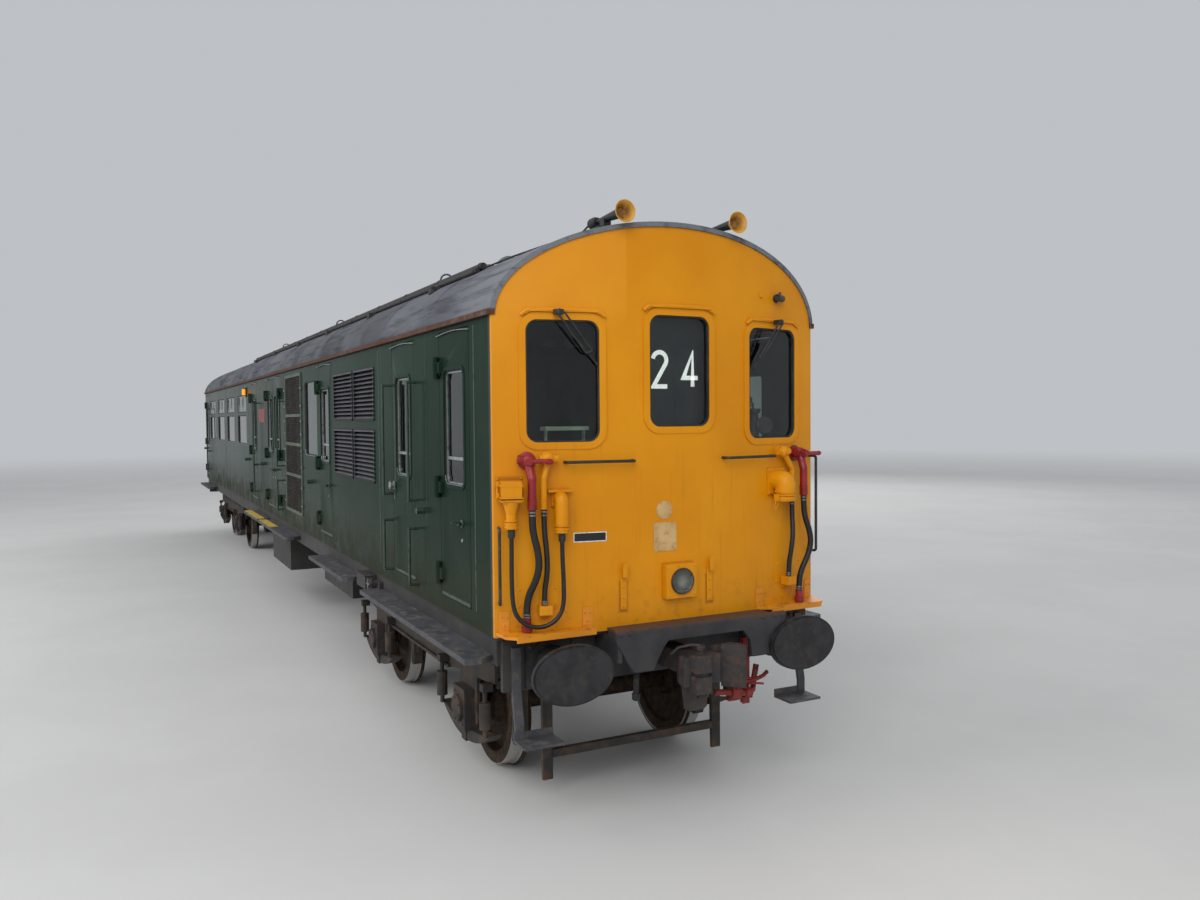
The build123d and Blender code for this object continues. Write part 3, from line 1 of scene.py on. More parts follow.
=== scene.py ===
# %% [markdown]
# # Dressing a diesel-electric motor car
# The CAD model already has every panel, door, wheel and hose in its real place. This script loads it,
# sets a camera ahead of the cab, and gives each piece the finish and the small parts that the real
# car shows. Sizes are millimetres from the foot of the cab's corner posts at rail height, as on a works
# drawing, and one helper turns them into metres in the model's frame.

# %% Load the car
import json
from math import asin, cos, pi, radians, sin, sqrt

import bmesh
import bpy
from mathutils import Matrix, Vector


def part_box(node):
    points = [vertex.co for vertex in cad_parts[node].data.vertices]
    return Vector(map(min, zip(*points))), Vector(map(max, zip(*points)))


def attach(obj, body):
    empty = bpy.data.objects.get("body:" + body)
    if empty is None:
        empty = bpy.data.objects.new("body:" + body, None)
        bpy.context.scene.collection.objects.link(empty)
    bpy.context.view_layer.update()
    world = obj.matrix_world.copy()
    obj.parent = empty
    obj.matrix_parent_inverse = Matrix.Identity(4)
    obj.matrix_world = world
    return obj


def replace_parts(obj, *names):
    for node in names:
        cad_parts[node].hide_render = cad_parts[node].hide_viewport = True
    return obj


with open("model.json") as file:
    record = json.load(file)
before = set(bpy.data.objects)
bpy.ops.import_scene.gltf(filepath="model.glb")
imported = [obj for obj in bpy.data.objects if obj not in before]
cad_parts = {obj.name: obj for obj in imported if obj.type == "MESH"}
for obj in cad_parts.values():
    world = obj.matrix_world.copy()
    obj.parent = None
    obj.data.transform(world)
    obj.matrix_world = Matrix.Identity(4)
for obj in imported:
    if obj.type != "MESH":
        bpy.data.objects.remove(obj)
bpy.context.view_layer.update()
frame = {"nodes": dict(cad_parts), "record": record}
NODES = frame["nodes"]
BODY_OF = {node: body for body, members in frame["record"]["behaviour"]["bodies"].items() for node in members}
FRONT, RAIL = 9640, 28      # the drawing's zero, ahead of the model's and above it
HALF, BOW = 1251, 190       # half the body's width, and how far the cab front bulges ahead of its posts
BOW_R = (HALF ** 2 + BOW ** 2) / (2 * BOW)


def at(x, y, z):
    """A drawing point in millimetres, as metres in the model's frame."""
    return Vector(((x + FRONT) / 1000, y / 1000, (z + RAIL) / 1000))


def spread(start, end, steps):
    """Values from start to end in equal steps."""
    return [start + (end - start) * k / steps for k in range(steps + 1)]


def around(count):
    """Cosine and sine of each corner of a regular polygon."""
    return [(cos(2 * pi * k / count), sin(2 * pi * k / count)) for k in range(count)]


def shown(name, data, node=None):
    """Puts an object in the scene. A piece of the car rides with the CAD node it belongs to."""
    thing = bpy.data.objects.new(name, data)
    bpy.context.scene.collection.objects.link(thing)
    if node:
        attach(thing, BODY_OF[node])
    return thing


# %% [markdown]
# ## Camera
# The view is taken at eye height, close to the cab and a little to its right.
# Its place was worked out from corners of the body whose sizes are known: the roof edge, the side
# windows and the buffers. A 28.7 mm lens on a 36 mm wide sensor gives the same steep perspective.

# %% Camera beside the cab
YAW, PITCH, ROLL = 0.4743, -0.0339, -0.0082
EYE = (5591.5, -3372, 2627.5)


def make_camera():
    ahead = Vector((-cos(YAW) * cos(PITCH), sin(YAW) * cos(PITCH), sin(PITCH)))
    right = ahead.cross(Vector((0, 0, 1))).normalized()
    up = right.cross(ahead)
    across = cos(ROLL) * right + sin(ROLL) * up
    over = cos(ROLL) * up - sin(ROLL) * right
    lens = bpy.data.cameras.new("platform_view")
    lens.sensor_width, lens.lens = 36, 28.73
    camera = shown("platform_view", lens)
    camera.matrix_world = Matrix.Translation(at(*EYE)) @ Matrix((across, over, -ahead)).transposed().to_4x4()
    bpy.context.scene.camera = camera
    print("camera at", [round(v, 2) for v in camera.location])


make_camera()

# %% [markdown]
# ## Mixing finishes
# Weathered paint is never one colour. Each finish starts from the car's own coordinates, so a streak
# runs down the whole side and never follows a single panel. Every value that a material works out can
# be added and multiplied like a number, which lays the math nodes. On top come a painter's steps: the
# coat, its fading, the rain streaks, the dirt thrown up from below.

# %% Helpers that add shader nodes
def rgb(red, green, blue):
    """A colour read off a photograph, 0 to 255, as linear light."""
    linear = [v / 255 / 12.92 if v <= 10 else ((v / 255 + 0.055) / 1.055) ** 2.4 for v in (red, green, blue)]
    return (*linear, 1.0)


def join(source, target):
    """Feeds a worked-out value, or a plain number or colour, to a node's input."""
    if isinstance(source, Value):
        target.id_data.links.new(source.socket, target)
    else:
        target.default_value = source


def math_node(kind):
    """A method that feeds a value, and what it is summed with, to a new math node."""
    def method(self, other=0.0):
        node = self.socket.id_data.nodes.new("ShaderNodeMath")
        node.operation = kind
        join(self, node.inputs[0])
        join(other, node.inputs[1])
        return Value(node.outputs[0])
    return method


class Value:
    """What a node of a material gives out. Ordinary sums on it add math nodes."""

    def __init__(self, socket):
        self.socket = socket

    __add__, __sub__, __mul__ = math_node("ADD"), math_node("SUBTRACT"), math_node("MULTIPLY")
    __truediv__, __pow__, __gt__ = math_node("DIVIDE"), math_node("POWER"), math_node("GREATER_THAN")
    __abs__, fraction, sine = math_node("ABSOLUTE"), math_node("FRACT"), math_node("SINE")
    largest = math_node("MAXIMUM")

    def __rsub__(self, number):
        return self * -1 + number


PAINT = {}


class Finish:
    """One material and the helpers that add nodes to it. Colours are given as 0 to 255."""

    def __init__(self, name, metallic=0.0, transmission=0.0, ior=1.5, sheen=0.0):
        self.material = PAINT[name] = bpy.data.materials.new(name)
        self.material.use_nodes = True
        self.nodes = self.material.node_tree.nodes
        self.nodes.clear()
        self.shader = self.nodes.new("ShaderNodeBsdfPrincipled")
        self.output = self.nodes.new("ShaderNodeOutputMaterial").inputs[0]
        join(Value(self.shader.outputs[0]), self.output)
        for setting, value in (("Metallic", metallic), ("Transmission Weight", transmission), ("IOR", ior),
                               ("Sheen Weight", sheen)):
            self.shader.inputs[setting].default_value = value
        self.place = Value(self.nodes.new("ShaderNodeTexCoord").outputs["Object"])
        axes = self.nodes.new("ShaderNodeSeparateXYZ")
        join(self.place, axes.inputs[0])
        self.x, self.y, self.z = [Value(axis) for axis in axes.outputs]

    def cloud(self, size, stretch=(1, 1, 1), detail=5, rough=0.6, shift=0.0):
        """Soft noise whose blotches are about size metres, drawn out along an axis by stretch."""
        mapping = self.nodes.new("ShaderNodeMapping")
        mapping.inputs["Scale"].default_value = [1 / s for s in stretch]
        mapping.inputs["Location"].default_value = (shift, shift, shift)
        noise = self.nodes.new("ShaderNodeTexNoise")
        for setting, value in (("Scale", 1 / size), ("Detail", detail), ("Roughness", rough)):
            noise.inputs[setting].default_value = value
        join(self.place, mapping.inputs[0])
        join(Value(mapping.outputs[0]), noise.inputs["Vector"])
        return Value(noise.outputs[0])

    def rise(self, value, low, high, start=0.0, end=1.0):
        """A smooth step from start to end while value goes from low to high."""
        step = self.nodes.new("ShaderNodeMapRange")
        step.interpolation_type = "SMOOTHSTEP"
        for setting, number in (("From Min", low), ("From Max", high), ("To Min", start), ("To Max", end)):
            step.inputs[setting].default_value = number
        join(value, step.inputs["Value"])
        return Value(step.outputs[0])

    def patches(self, size, low, high, start=0.0, end=1.0, **noise):
        """Noise that steps from start to end, so that it reads as separate patches."""
        return self.rise(self.cloud(size, **noise), low, high, start, end)

    def coat(self, share, under, over):
        """The colour over laid on the colour under, where share is one."""
        mix = self.nodes.new("ShaderNodeMix")
        mix.data_type = "RGBA"
        join(share, mix.inputs[0])
        for colour, k in ((under, 6), (over, 7)):
            join(rgb(*colour) if isinstance(colour, tuple) else colour, mix.inputs[k])
        return Value(mix.outputs[2])

    def layers(self, colour, *coats):
        """A first colour under its coats, each given as its share and its colour."""
        for share, over in coats:
            colour = self.coat(share, colour, over)
        return colour

    def finish(self, colour, rough, bump=None, depth=0.001, strength=0.5):
        """Connects the colour, the roughness and a height."""
        join(colour, self.shader.inputs["Base Color"])
        join(rough, self.shader.inputs["Roughness"])
        if bump is not None:
            node = self.nodes.new("ShaderNodeBump")
            node.inputs["Distance"].default_value = depth
            node.inputs["Strength"].default_value = strength
            join(bump, node.inputs["Height"])
            join(Value(node.outputs[0]), self.shader.inputs["Normal"])
        self.material.diffuse_color = (0.5, 0.5, 0.5, 1)


def weathered(name, coat, faded, dirt, rough=0.5, size=0.5, grit=0.012, depth=0.0006, metallic=0.0, share=0.5):
    """A plain painted or bare finish: two tones in blotches, dirt in patches, and a fine tooth."""
    f = Finish(name, metallic)
    dirty = f.patches(size / 3, 0.62 - 0.25 * share, 0.72 - 0.1 * share, shift=7.0, detail=8)
    colour = f.layers(coat, (f.patches(size, 0.35, 0.65), faded), (dirty * 0.75, dirt))
    f.finish(colour, f.rise(dirty, 0, 1, rough, min(0.95, rough + 0.25)), f.cloud(grit, detail=3), depth, 0.6)


print("finish helpers ready")

# %% [markdown]
# ## Hoses and the jumper cable
# Five free cords hang on the cab front: a control jumper that loops from its socket up to an elbow, and a brake
# hose and an air hose on each side. Rubber this thick keeps wide bends and hangs straight down at both ends.
# Each is a smooth curve through a few given points, with a round bevel.

# %% Hang the five cords
CORDS = {       # name: radius, then the points that shape it from its exit to its far end
    "jumper_cable": (14, [
        (108, -1175.4, 1945.6), (108, -1175.4, 1806), (115.3, -1180.3, 1606), (124.3, -1175.4, 1446.4),
        (138.1, -1134.1, 1372.6), (157.7, -1062.4, 1330), (178, -979.6, 1330), (193.5, -907.9, 1372.6),
        (200, -866.5, 1446.4), (194.1, -861.7, 1590), (183.7, -866.5, 1778), (183.7, -866.5, 1911.6)]),
    "brake_hose_left": (22, [
        (155, -1054.5, 2059.6), (155, -1054.5, 1975), (157, -1047, 1900), (165, -1022, 1800),
        (167, -1015, 1700), (145, -1034, 1610), (112, -1064, 1530), (100, -1075, 1450), (100, -1075, 1378.4)]),
    "air_hose_left": (17, [
        (148, -972.9, 2059.6), (148, -972.9, 1930), (166, -962, 1780), (162, -960, 1650), (131, -966.8, 1560),
        (131, -966.8, 1457.4)]),
    "brake_hose_right": (20.5, [
        (153.4, 1060.6, 2059.6), (153.4, 1060.6, 1975), (159, 1072, 1890), (171, 1102, 1800), (174, 1110, 1710),
        (167, 1086, 1620), (156, 1045, 1540), (150, 1022, 1460), (150, 1022, 1378.4)]),
    "air_hose_right": (17, [
        (116.5, 984.7, 2059.6), (116.5, 984.7, 1930), (146, 972, 1790), (152, 950, 1670), (137.3, 939.5, 1580),
        (137.3, 939.5, 1484.4)]),
}


def curve_length(points):
    """Length of the smooth line that an order three curve draws inside these points, in metres."""
    ends = [points[0]] + [(a + b) / 2 for a, b in zip(points[1:-2], points[2:-1])] + [points[-1]]
    total = 0.0
    for start, bend, end in zip(ends[:-1], points[1:-1], ends[1:]):
        steps = [start.lerp(bend, t).lerp(bend.lerp(end, t), t) for t in spread(0, 1, 24)]
        total += sum((b - a).length for a, b in zip(steps[:-1], steps[1:]))
    return total


def hose_rubber():
    f = Finish("hose_rubber")
    worn = f.patches(0.05, 0.55, 0.75, detail=8)
    f.finish(f.coat(worn, (14, 14, 15), (44, 42, 40)), f.rise(worn, 0, 1, 0.42, 0.7), f.cloud(0.004), 0.0004)


hose_rubber()
for name, (radius, points) in CORDS.items():
    route = [at(*p) for p in points]
    line = bpy.data.curves.new(name + "_line", "CURVE")
    line.dimensions, line.bevel_depth, line.bevel_resolution = "3D", radius / 1000, 5
    line.resolution_u, line.use_fill_caps = 10, True
    spline = line.splines.new("NURBS")
    spline.points.add(len(route) - 1)
    for point, place in zip(spline.points, route):
        point.co = (*place, 1)
    spline.order_u, spline.use_endpoint_u = 3, True
    line.materials.append(PAINT["hose_rubber"])
    hose = shown(name + "_hung", line, name)
    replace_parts(hose, name)
    print(name, round(curve_length(route), 3), "m")

# %% [markdown]
# ## Paint for the body
# The sides are dark coach green that rain has streaked and brake dust has browned at the foot.
# The cab front is a warm warning yellow, with painted shade on the sheet beside its fittings and a paler patch
# at its upper left where it was touched up. Its inner face, seen past the window rubbers, is dark. A faint
# large bump stands for sheet steel that is never flat between its frames.

# %% Green sides and yellow front
def coach_green():
    f = Finish("coach_green", ior=1.07)
    streaks = f.patches(0.09, 0.5, 0.78, stretch=(1, 1, 14), detail=6)
    soot = f.patches(0.5, 0.55, 0.75, stretch=(1, 1, 5), shift=3)
    dust = f.rise(f.z, 1.95, 1.25) * f.patches(0.25, 0.3, 0.7, 0.25, 0.8, detail=8)
    paint = f.layers((26, 42, 34), (f.patches(1.6, 0.3, 0.7), (36, 54, 42)), (streaks * 0.35, (50, 66, 47)),
                     (soot * 0.4, (24, 34, 28)), (dust, (58, 58, 46)))
    wave = f.cloud(0.7, detail=1) + f.cloud(0.01, detail=2) * 0.03
    f.finish(paint, f.rise(dust, 0, 1, 0.2, 0.62) + streaks * 0.12, wave, 0.012, 0.35)


# What stands on the cab front, with painted shade round each, in millimetres: middle y and z, half width, half
# height.
FRONT_FITTINGS = [
    (-427, 1465, 22, 92), (225, 1465, 22, 92), (-28, 1547, 108, 108), (-850, 2122, 40, 46), (842, 2168, 70, 80),
    (-1153, 2200, 74, 54)]


def painted_shade_beside(f, places, reach=0.02):
    """Painted shade against each fitting in the table, fading out over reach metres of the sheet it stands on.
    """
    total = 0.0
    for y, z, half, high in places:
        beside = abs(f.y - y / 1000) - half / 1000
        over = abs(f.z - (z + RAIL) / 1000) - high / 1000
        total = f.rise(beside.largest(over), reach, 0.0).largest(total)
    return total


def warning_yellow():
    f = Finish("warning_yellow", ior=1.3)
    runs = f.patches(0.035, 0.56, 0.8, stretch=(1, 1, 22)) * f.rise(f.z, 3.2, 2.3)
    touched_up = f.rise(f.y, -0.385, -0.39) * f.rise(f.z, 3.2, 3.42)
    low = f.rise(f.z, 1.7, 1.28) * f.rise(f.patches(0.06, 0.45, 0.8, detail=9), 0, 1, 0.08, 0.5)
    chips = f.patches(0.014, 0.75, 0.77, shift=5)
    behind = ((BOW_R / 1000) ** 2 - f.y * f.y) ** 0.5 + (FRONT + BOW - BOW_R) / 1000 - f.x
    # Painted shade on the sheet beside each fitting, laid below as the coat of (104, 62, 12).
    marks = painted_shade_beside(f, FRONT_FITTINGS) * f.rise(abs(behind), 0.004, 0.003)
    paint = f.layers((208, 132, 8), (f.patches(0.9, 0.3, 0.7), (218, 144, 14)), (runs * 0.45, (166, 98, 14)),
                     (touched_up * 0.4, (228, 150, 42)), (low, (140, 88, 28)), (chips * 0.6, (104, 66, 30)),
                     (marks * 0.45, (104, 62, 12)), (f.rise(behind, 0.025, 0.027), (38, 44, 40)))
    wave = f.cloud(0.5, detail=1) + f.cloud(0.008, detail=2) * 0.03
    f.finish(paint, f.rise(runs + low, 0, 1, 0.36, 0.7), wave, 0.01, 0.35)


coach_green()
warning_yellow()
print("body paints:", *PAINT)

# %% [markdown]
# ## Roof, underframe and running gear
# Exhaust soot settles on the grey roof and washes down to a rust-brown gutter. Over the cab the roof is painted
# lighter, a painted reflection of the sky. Everything below the floor was black once, and is brown with brake
# dust now. Wheels are the exception: braking and rolling keep the tread bright, so that finish is drawn as
# rings around each axle.

# %% Finishes above and below the body
def roof_grey():
    f = Finish("roof_grey", ior=1.2)
    wash = f.patches(0.06, 0.45, 0.72, stretch=(14, 1.5, 1), detail=7)
    runs = f.patches(0.09, 0.6, 0.78, stretch=(1, 6, 4), detail=6, shift=4)
    soot = f.rise(f.x, 0.8, 3.0) * f.rise(f.x, 7.4, 6.0) * f.patches(0.8, 0.3, 0.7, 0.1, 0.65)
    rust = f.rise(f.z, 3.345, 3.33) * f.patches(0.05, 0.3, 0.6, 0.55, 1.0, detail=8)
    # Painted reflection: the roof turns lighter over the cab, where the sky's reflection shows.
    sky_reflection_near_cab = f.rise(f.x, 8.6, 9.5)
    paint = f.layers((80, 83, 89), (f.patches(1.1, 0.35, 0.65), (98, 101, 106)), (sky_reflection_near_cab, (112, 115, 120)),
                     (wash * 0.7, (54, 54, 58)), (runs * 0.4, (52, 50, 50)), (soot, (40, 38, 38)),
                     (rust, (82, 52, 38)))
    f.finish(paint, f.rise(wash, 0, 1, 0.62, 0.85), f.cloud(0.006, detail=3) + wash * 0.8, 0.001, 0.6)


def wheel_steel(name, centre, tread):
    """Rings round one axle: a bright tread, a dull rim, and oily hub."""
    f = Finish(name, metallic=0.75)
    dx, dz = f.x - centre[0], f.z - centre[2]
    out = (dx * dx + dz * dz) ** 0.5
    bright = f.rise(out, tread - 0.01, tread - 0.004) * f.rise(out, tread + 0.014, tread + 0.008)
    marks = f.patches(0.05, 0.35, 0.7, detail=8)
    paint = f.layers((52, 44, 38), (marks, (86, 68, 52)), (bright, (176, 174, 170)))
    f.finish(paint, f.rise(bright, 0, 1, 0.75, 0.22), f.cloud(0.008, detail=4), 0.0006)


def louvre_grey():
    """Slats with a painted highlight on their outer lips and painted shade, black, in the gaps between them, in
    two banks.
    """
    f = Finish("louvre_grey", ior=1.3)
    low, high = [((f.z - foot) / pitch).fraction() for foot, pitch in ((2.102, 0.03991), (2.664, 0.04009))]
    upper = f.z > 2.6
    step = high * upper + low * (1.0 - upper)
    painted_lip_highlight = f.rise(step, 0.5, 0.22) * f.patches(0.1, 0.25, 0.6, 0.5, 1.0, detail=7)
    # The near-black is painted shade in the gaps, and the grey is the painted highlight on each lip.
    f.finish(f.coat(painted_lip_highlight, (13, 14, 16), (80, 78, 84)), 0.5, f.cloud(0.01), 0.0005)


def worn_step():
    """Yellow paint on the cab steps, walked through to rust on top."""
    f = Finish("worn_step_yellow")
    worn = f.patches(0.09, 0.5, 0.74, detail=9) * f.rise(f.z, 1.3, 1.312) * f.rise(f.z, 1.34, 1.33)
    paint = f.layers((206, 126, 14), (f.patches(0.3, 0.3, 0.7), (220, 142, 22)), (worn, (96, 64, 40)))
    f.finish(paint, f.rise(worn, 0, 1, 0.42, 0.8), f.cloud(0.01), 0.0008)


def beam_paint():
    """Dark grey beam with rust along its top edge."""
    f = Finish("beam_grey")
    rust = f.rise(f.z, 1.285, 1.312) * f.patches(0.06, 0.3, 0.55, 0.3, 1.0, detail=8)
    paint = f.layers((40, 40, 43), (f.patches(0.2, 0.35, 0.7), (54, 53, 54)), (rust, (80, 56, 45)))
    f.finish(paint, 0.62, f.cloud(0.012), 0.0012)


for paint_it in (roof_grey, beam_paint, louvre_grey, worn_step):
    paint_it()
# Coat, faded coat and dirt, then roughness and the size of the blotches in metres.
weathered("underframe_black", (38, 38, 39), (50, 49, 48), (68, 60, 52), 0.62, 0.5)
weathered("bogie_grime", (38, 36, 34), (54, 47, 41), (88, 68, 52), 0.74, 0.3, share=0.6)
weathered("buffer_grease", (34, 34, 36), (48, 48, 50), (66, 60, 54), 0.5, 0.16, metallic=0.3)
weathered("coupler_rust", (50, 45, 43), (38, 36, 37), (84, 62, 50), 0.6, 0.12)
weathered("footboard_timber", (52, 54, 60), (70, 70, 74), (98, 90, 80), 0.62, 0.2)
weathered("engine_green", (92, 108, 98), (70, 84, 78), (44, 40, 36), 0.5, 0.4)
weathered("grille_green", (62, 74, 60), (84, 90, 76), (58, 50, 44), 0.6, 0.2)
weathered("fitting_black", (26, 26, 28), (40, 40, 42), (72, 66, 58), 0.42, 0.1)
weathered("rail_steel", (150, 148, 142), (120, 116, 110), (90, 80, 68), 0.35, 0.1, metallic=0.8)
weathered("brake_red", (128, 20, 28), (148, 28, 34), (96, 24, 26), 0.36, 0.12, share=0.3)
weathered("hardware_green", (34, 52, 41), (44, 62, 50), (24, 30, 26), 0.4, 0.15)
weathered("window_gasket", (22, 22, 23), (36, 36, 36), (70, 66, 58), 0.6, 0.1)
weathered("window_alloy", (168, 176, 174), (140, 150, 148), (84, 88, 80), 0.32, 0.1, metallic=0.7)
weathered("plate_cream", (188, 150, 94), (202, 168, 114), (160, 118, 70), 0.5, 0.12, share=0.4)
weathered("plate_white", (230, 230, 226), (214, 212, 206), (150, 140, 120), 0.45, 0.05)
weathered("sign_red", (132, 30, 30), (112, 26, 28), (70, 30, 26), 0.4, 0.2)
weathered("tread_yellow", (206, 178, 70), (186, 156, 62), (98, 86, 60), 0.7, 0.12, grit=0.02, depth=0.002)
weathered("cylinder_blue", (30, 44, 96), (38, 54, 108), (50, 50, 60), 0.45, 0.1)
weathered("pipe_red", (118, 34, 30), (138, 44, 36), (62, 36, 32), 0.55, 0.09)
weathered("radiator_wire", (54, 46, 46), (70, 60, 56), (34, 30, 29), 0.6, 0.1, metallic=0.4)
weathered("bellows_cloth", (34, 34, 36), (48, 47, 46), (80, 74, 66), 0.8, 0.3, grit=0.003)
weathered("cab_interior_green", (168, 188, 160), (152, 172, 146), (96, 100, 84), 0.45, 0.3)
weathered("floor_lino", (96, 76, 58), (112, 90, 70), (58, 48, 40), 0.5, 0.4)
print("finishes ready:", len(PAINT))

# %% [markdown]
# ## Glass, timber and cloth
# The cab's glass is clean and faintly green. The side windows are tinted dark, painted shade for the dim inside
# of the car, and filmed in patches with brake dust. The inner walls are varnished plywood, whose grain is noise
# drawn out lengthwise. Seat cloth is a dense cut pile, so its colour changes in tiny tufts and a sheen softens
# its edges.

# %% Finishes seen through the windows
def window_glass(name, clean, filmed):
    f = Finish(name, transmission=1.0, ior=1.36)
    film = f.patches(0.25, 0.4, 0.8, detail=6)
    f.finish(f.coat(film, clean, filmed), f.rise(film, 0, 1, 0.01, 0.05))


def varnished_ply():
    """Warm in the saloon, and a dark grey green in the cab."""
    f = Finish("varnished_ply")
    grain = f.cloud(0.03, stretch=(6, 6, 26), detail=2)
    warm = f.coat(f.rise(grain, 0.35, 0.65), (150, 104, 62), (182, 134, 86))
    dark = f.coat(f.rise(grain, 0.3, 0.7), (38, 44, 42), (52, 58, 54))
    f.finish(f.coat(f.rise(f.x, 6.9, 7.0), warm, dark), 0.35, grain, 0.0004)


def seat_cloth():
    f = Finish("seat_cloth", sheen=0.6)
    tuft = f.cloud(0.006, detail=2)
    f.finish(f.coat(f.rise(tuft, 0.42, 0.58), (70, 30, 30), (120, 58, 48)), 0.9, tuft, 0.001, 0.8)


window_glass("window_glass", (232, 240, 238), (208, 214, 212))
# The side glass is dark in both tones: painted shade for the dim inside of the car.
window_glass("side_glass", (122, 132, 126), (108, 116, 110))
varnished_ply()
seat_cloth()
print("with glass, timber and cloth:", len(PAINT))

# %% Give every CAD piece its finish
WORN_BY = {
    "coach_green": "side_walls", "warning_yellow": "cab_front lamp_fittings jumper_gear",
    "window_glass": "cab_glass", "side_glass": "side_glass", "roof_grey": "roof roof_fittings",
    "underframe_black": "underframe rear_end underfloor_gear", "floor_lino": "floor",
    "bellows_cloth": "gangway_bellows", "rail_steel": "gangway_plate", "engine_green": "engine_block",
    "varnished_ply": "partitions seat_frames", "louvre_grey": "louvres", "grille_green": "radiator_grilles",
    "seat_cloth": "seat_cushions", "cab_interior_green": "cab_desk", "beam_grey": "beam_plate",
    "buffer_grease": "buffers", "coupler_rust": "couplers", "worn_step_yellow": "cab_steps",
    "footboard_timber": "footboards", "hardware_green": "side_fittings", "brake_red": "brake_cocks",
    "fitting_black": "cab_handrails horns wipers",
    "bogie_grime": "bogie_frame_front running_gear_front bogie_frame_rear running_gear_rear traction_motors",
}
TREAD_RADIUS = {"front": 0.457, "rear": 0.508}


def wear(node, paint):
    """Puts one paint on every slot of a CAD piece."""
    NODES[node].data.materials.clear()
    NODES[node].data.materials.append(PAINT[paint])


for paint, nodes in WORN_BY.items():
    for node in nodes.split():
        wear(node, paint)
for node in [n for n in NODES if n.startswith("wheelset")]:
    low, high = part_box(node)
    wheel_steel(node + "_steel", (low + high) / 2, TREAD_RADIUS[node.split("_")[1]])
    wear(node, node + "_steel")
print("dressed the CAD pieces in", len(PAINT), "finishes")

# %% [markdown]
# ## A workbench for small parts
# Handles, bezels, seals, plates and bolts are too small for the CAD but make the car believable. The
# workbench collects plain forms into one mesh. Every form, be it a box, a tube, a turned ring or a cut
# plate, is a skin stretched over rings of points. Anything on the bowed cab front is placed by its
# distance from the centre line, its height and how proud it stands, so that it sits square to the sheet.
# The flat side has a placing of the same kind.

# %% Workbench
def face_x(y):
    return BOW - BOW_R + sqrt(BOW_R ** 2 - y ** 2)


def on_face(y, z, out=0.0):
    """Placing for a part on the cab front: its x points straight out of the sheet."""
    turn = Matrix.Rotation(asin(y / BOW_R), 4, "Z")
    return Matrix.Translation((face_x(y), y, z)) @ turn @ Matrix.Translation((out, 0, 0))


def on_sheet(y, z, out):
    return on_face(y, z, out).translation


def on_side(y=0.0, z=0.0, out=0.0):
    """Placing for a part on the right-hand side: its x points out of the sheet, its y along the car."""
    return Matrix(((0, 1, 0, y), (-1, 0, 0, -HALF - out), (0, 0, 1, z), (0, 0, 0, 1)))


def circle(middle, along, out, radius, sides):
    """Points of a circle round the axis along, the first one in the direction out."""
    side = along.cross(out)
    return [middle + radius * (c * out + s * side) for c, s in around(sides)]


def disc(radius, thick, hole=0):
    """Lathe profile of a flat disc or a collar."""
    return [(0, hole), (0, radius), (thick, radius), (thick, hole)]


GAP = 0.4       # between a fitting and the sheet it is screwed to, so that their faces never coincide


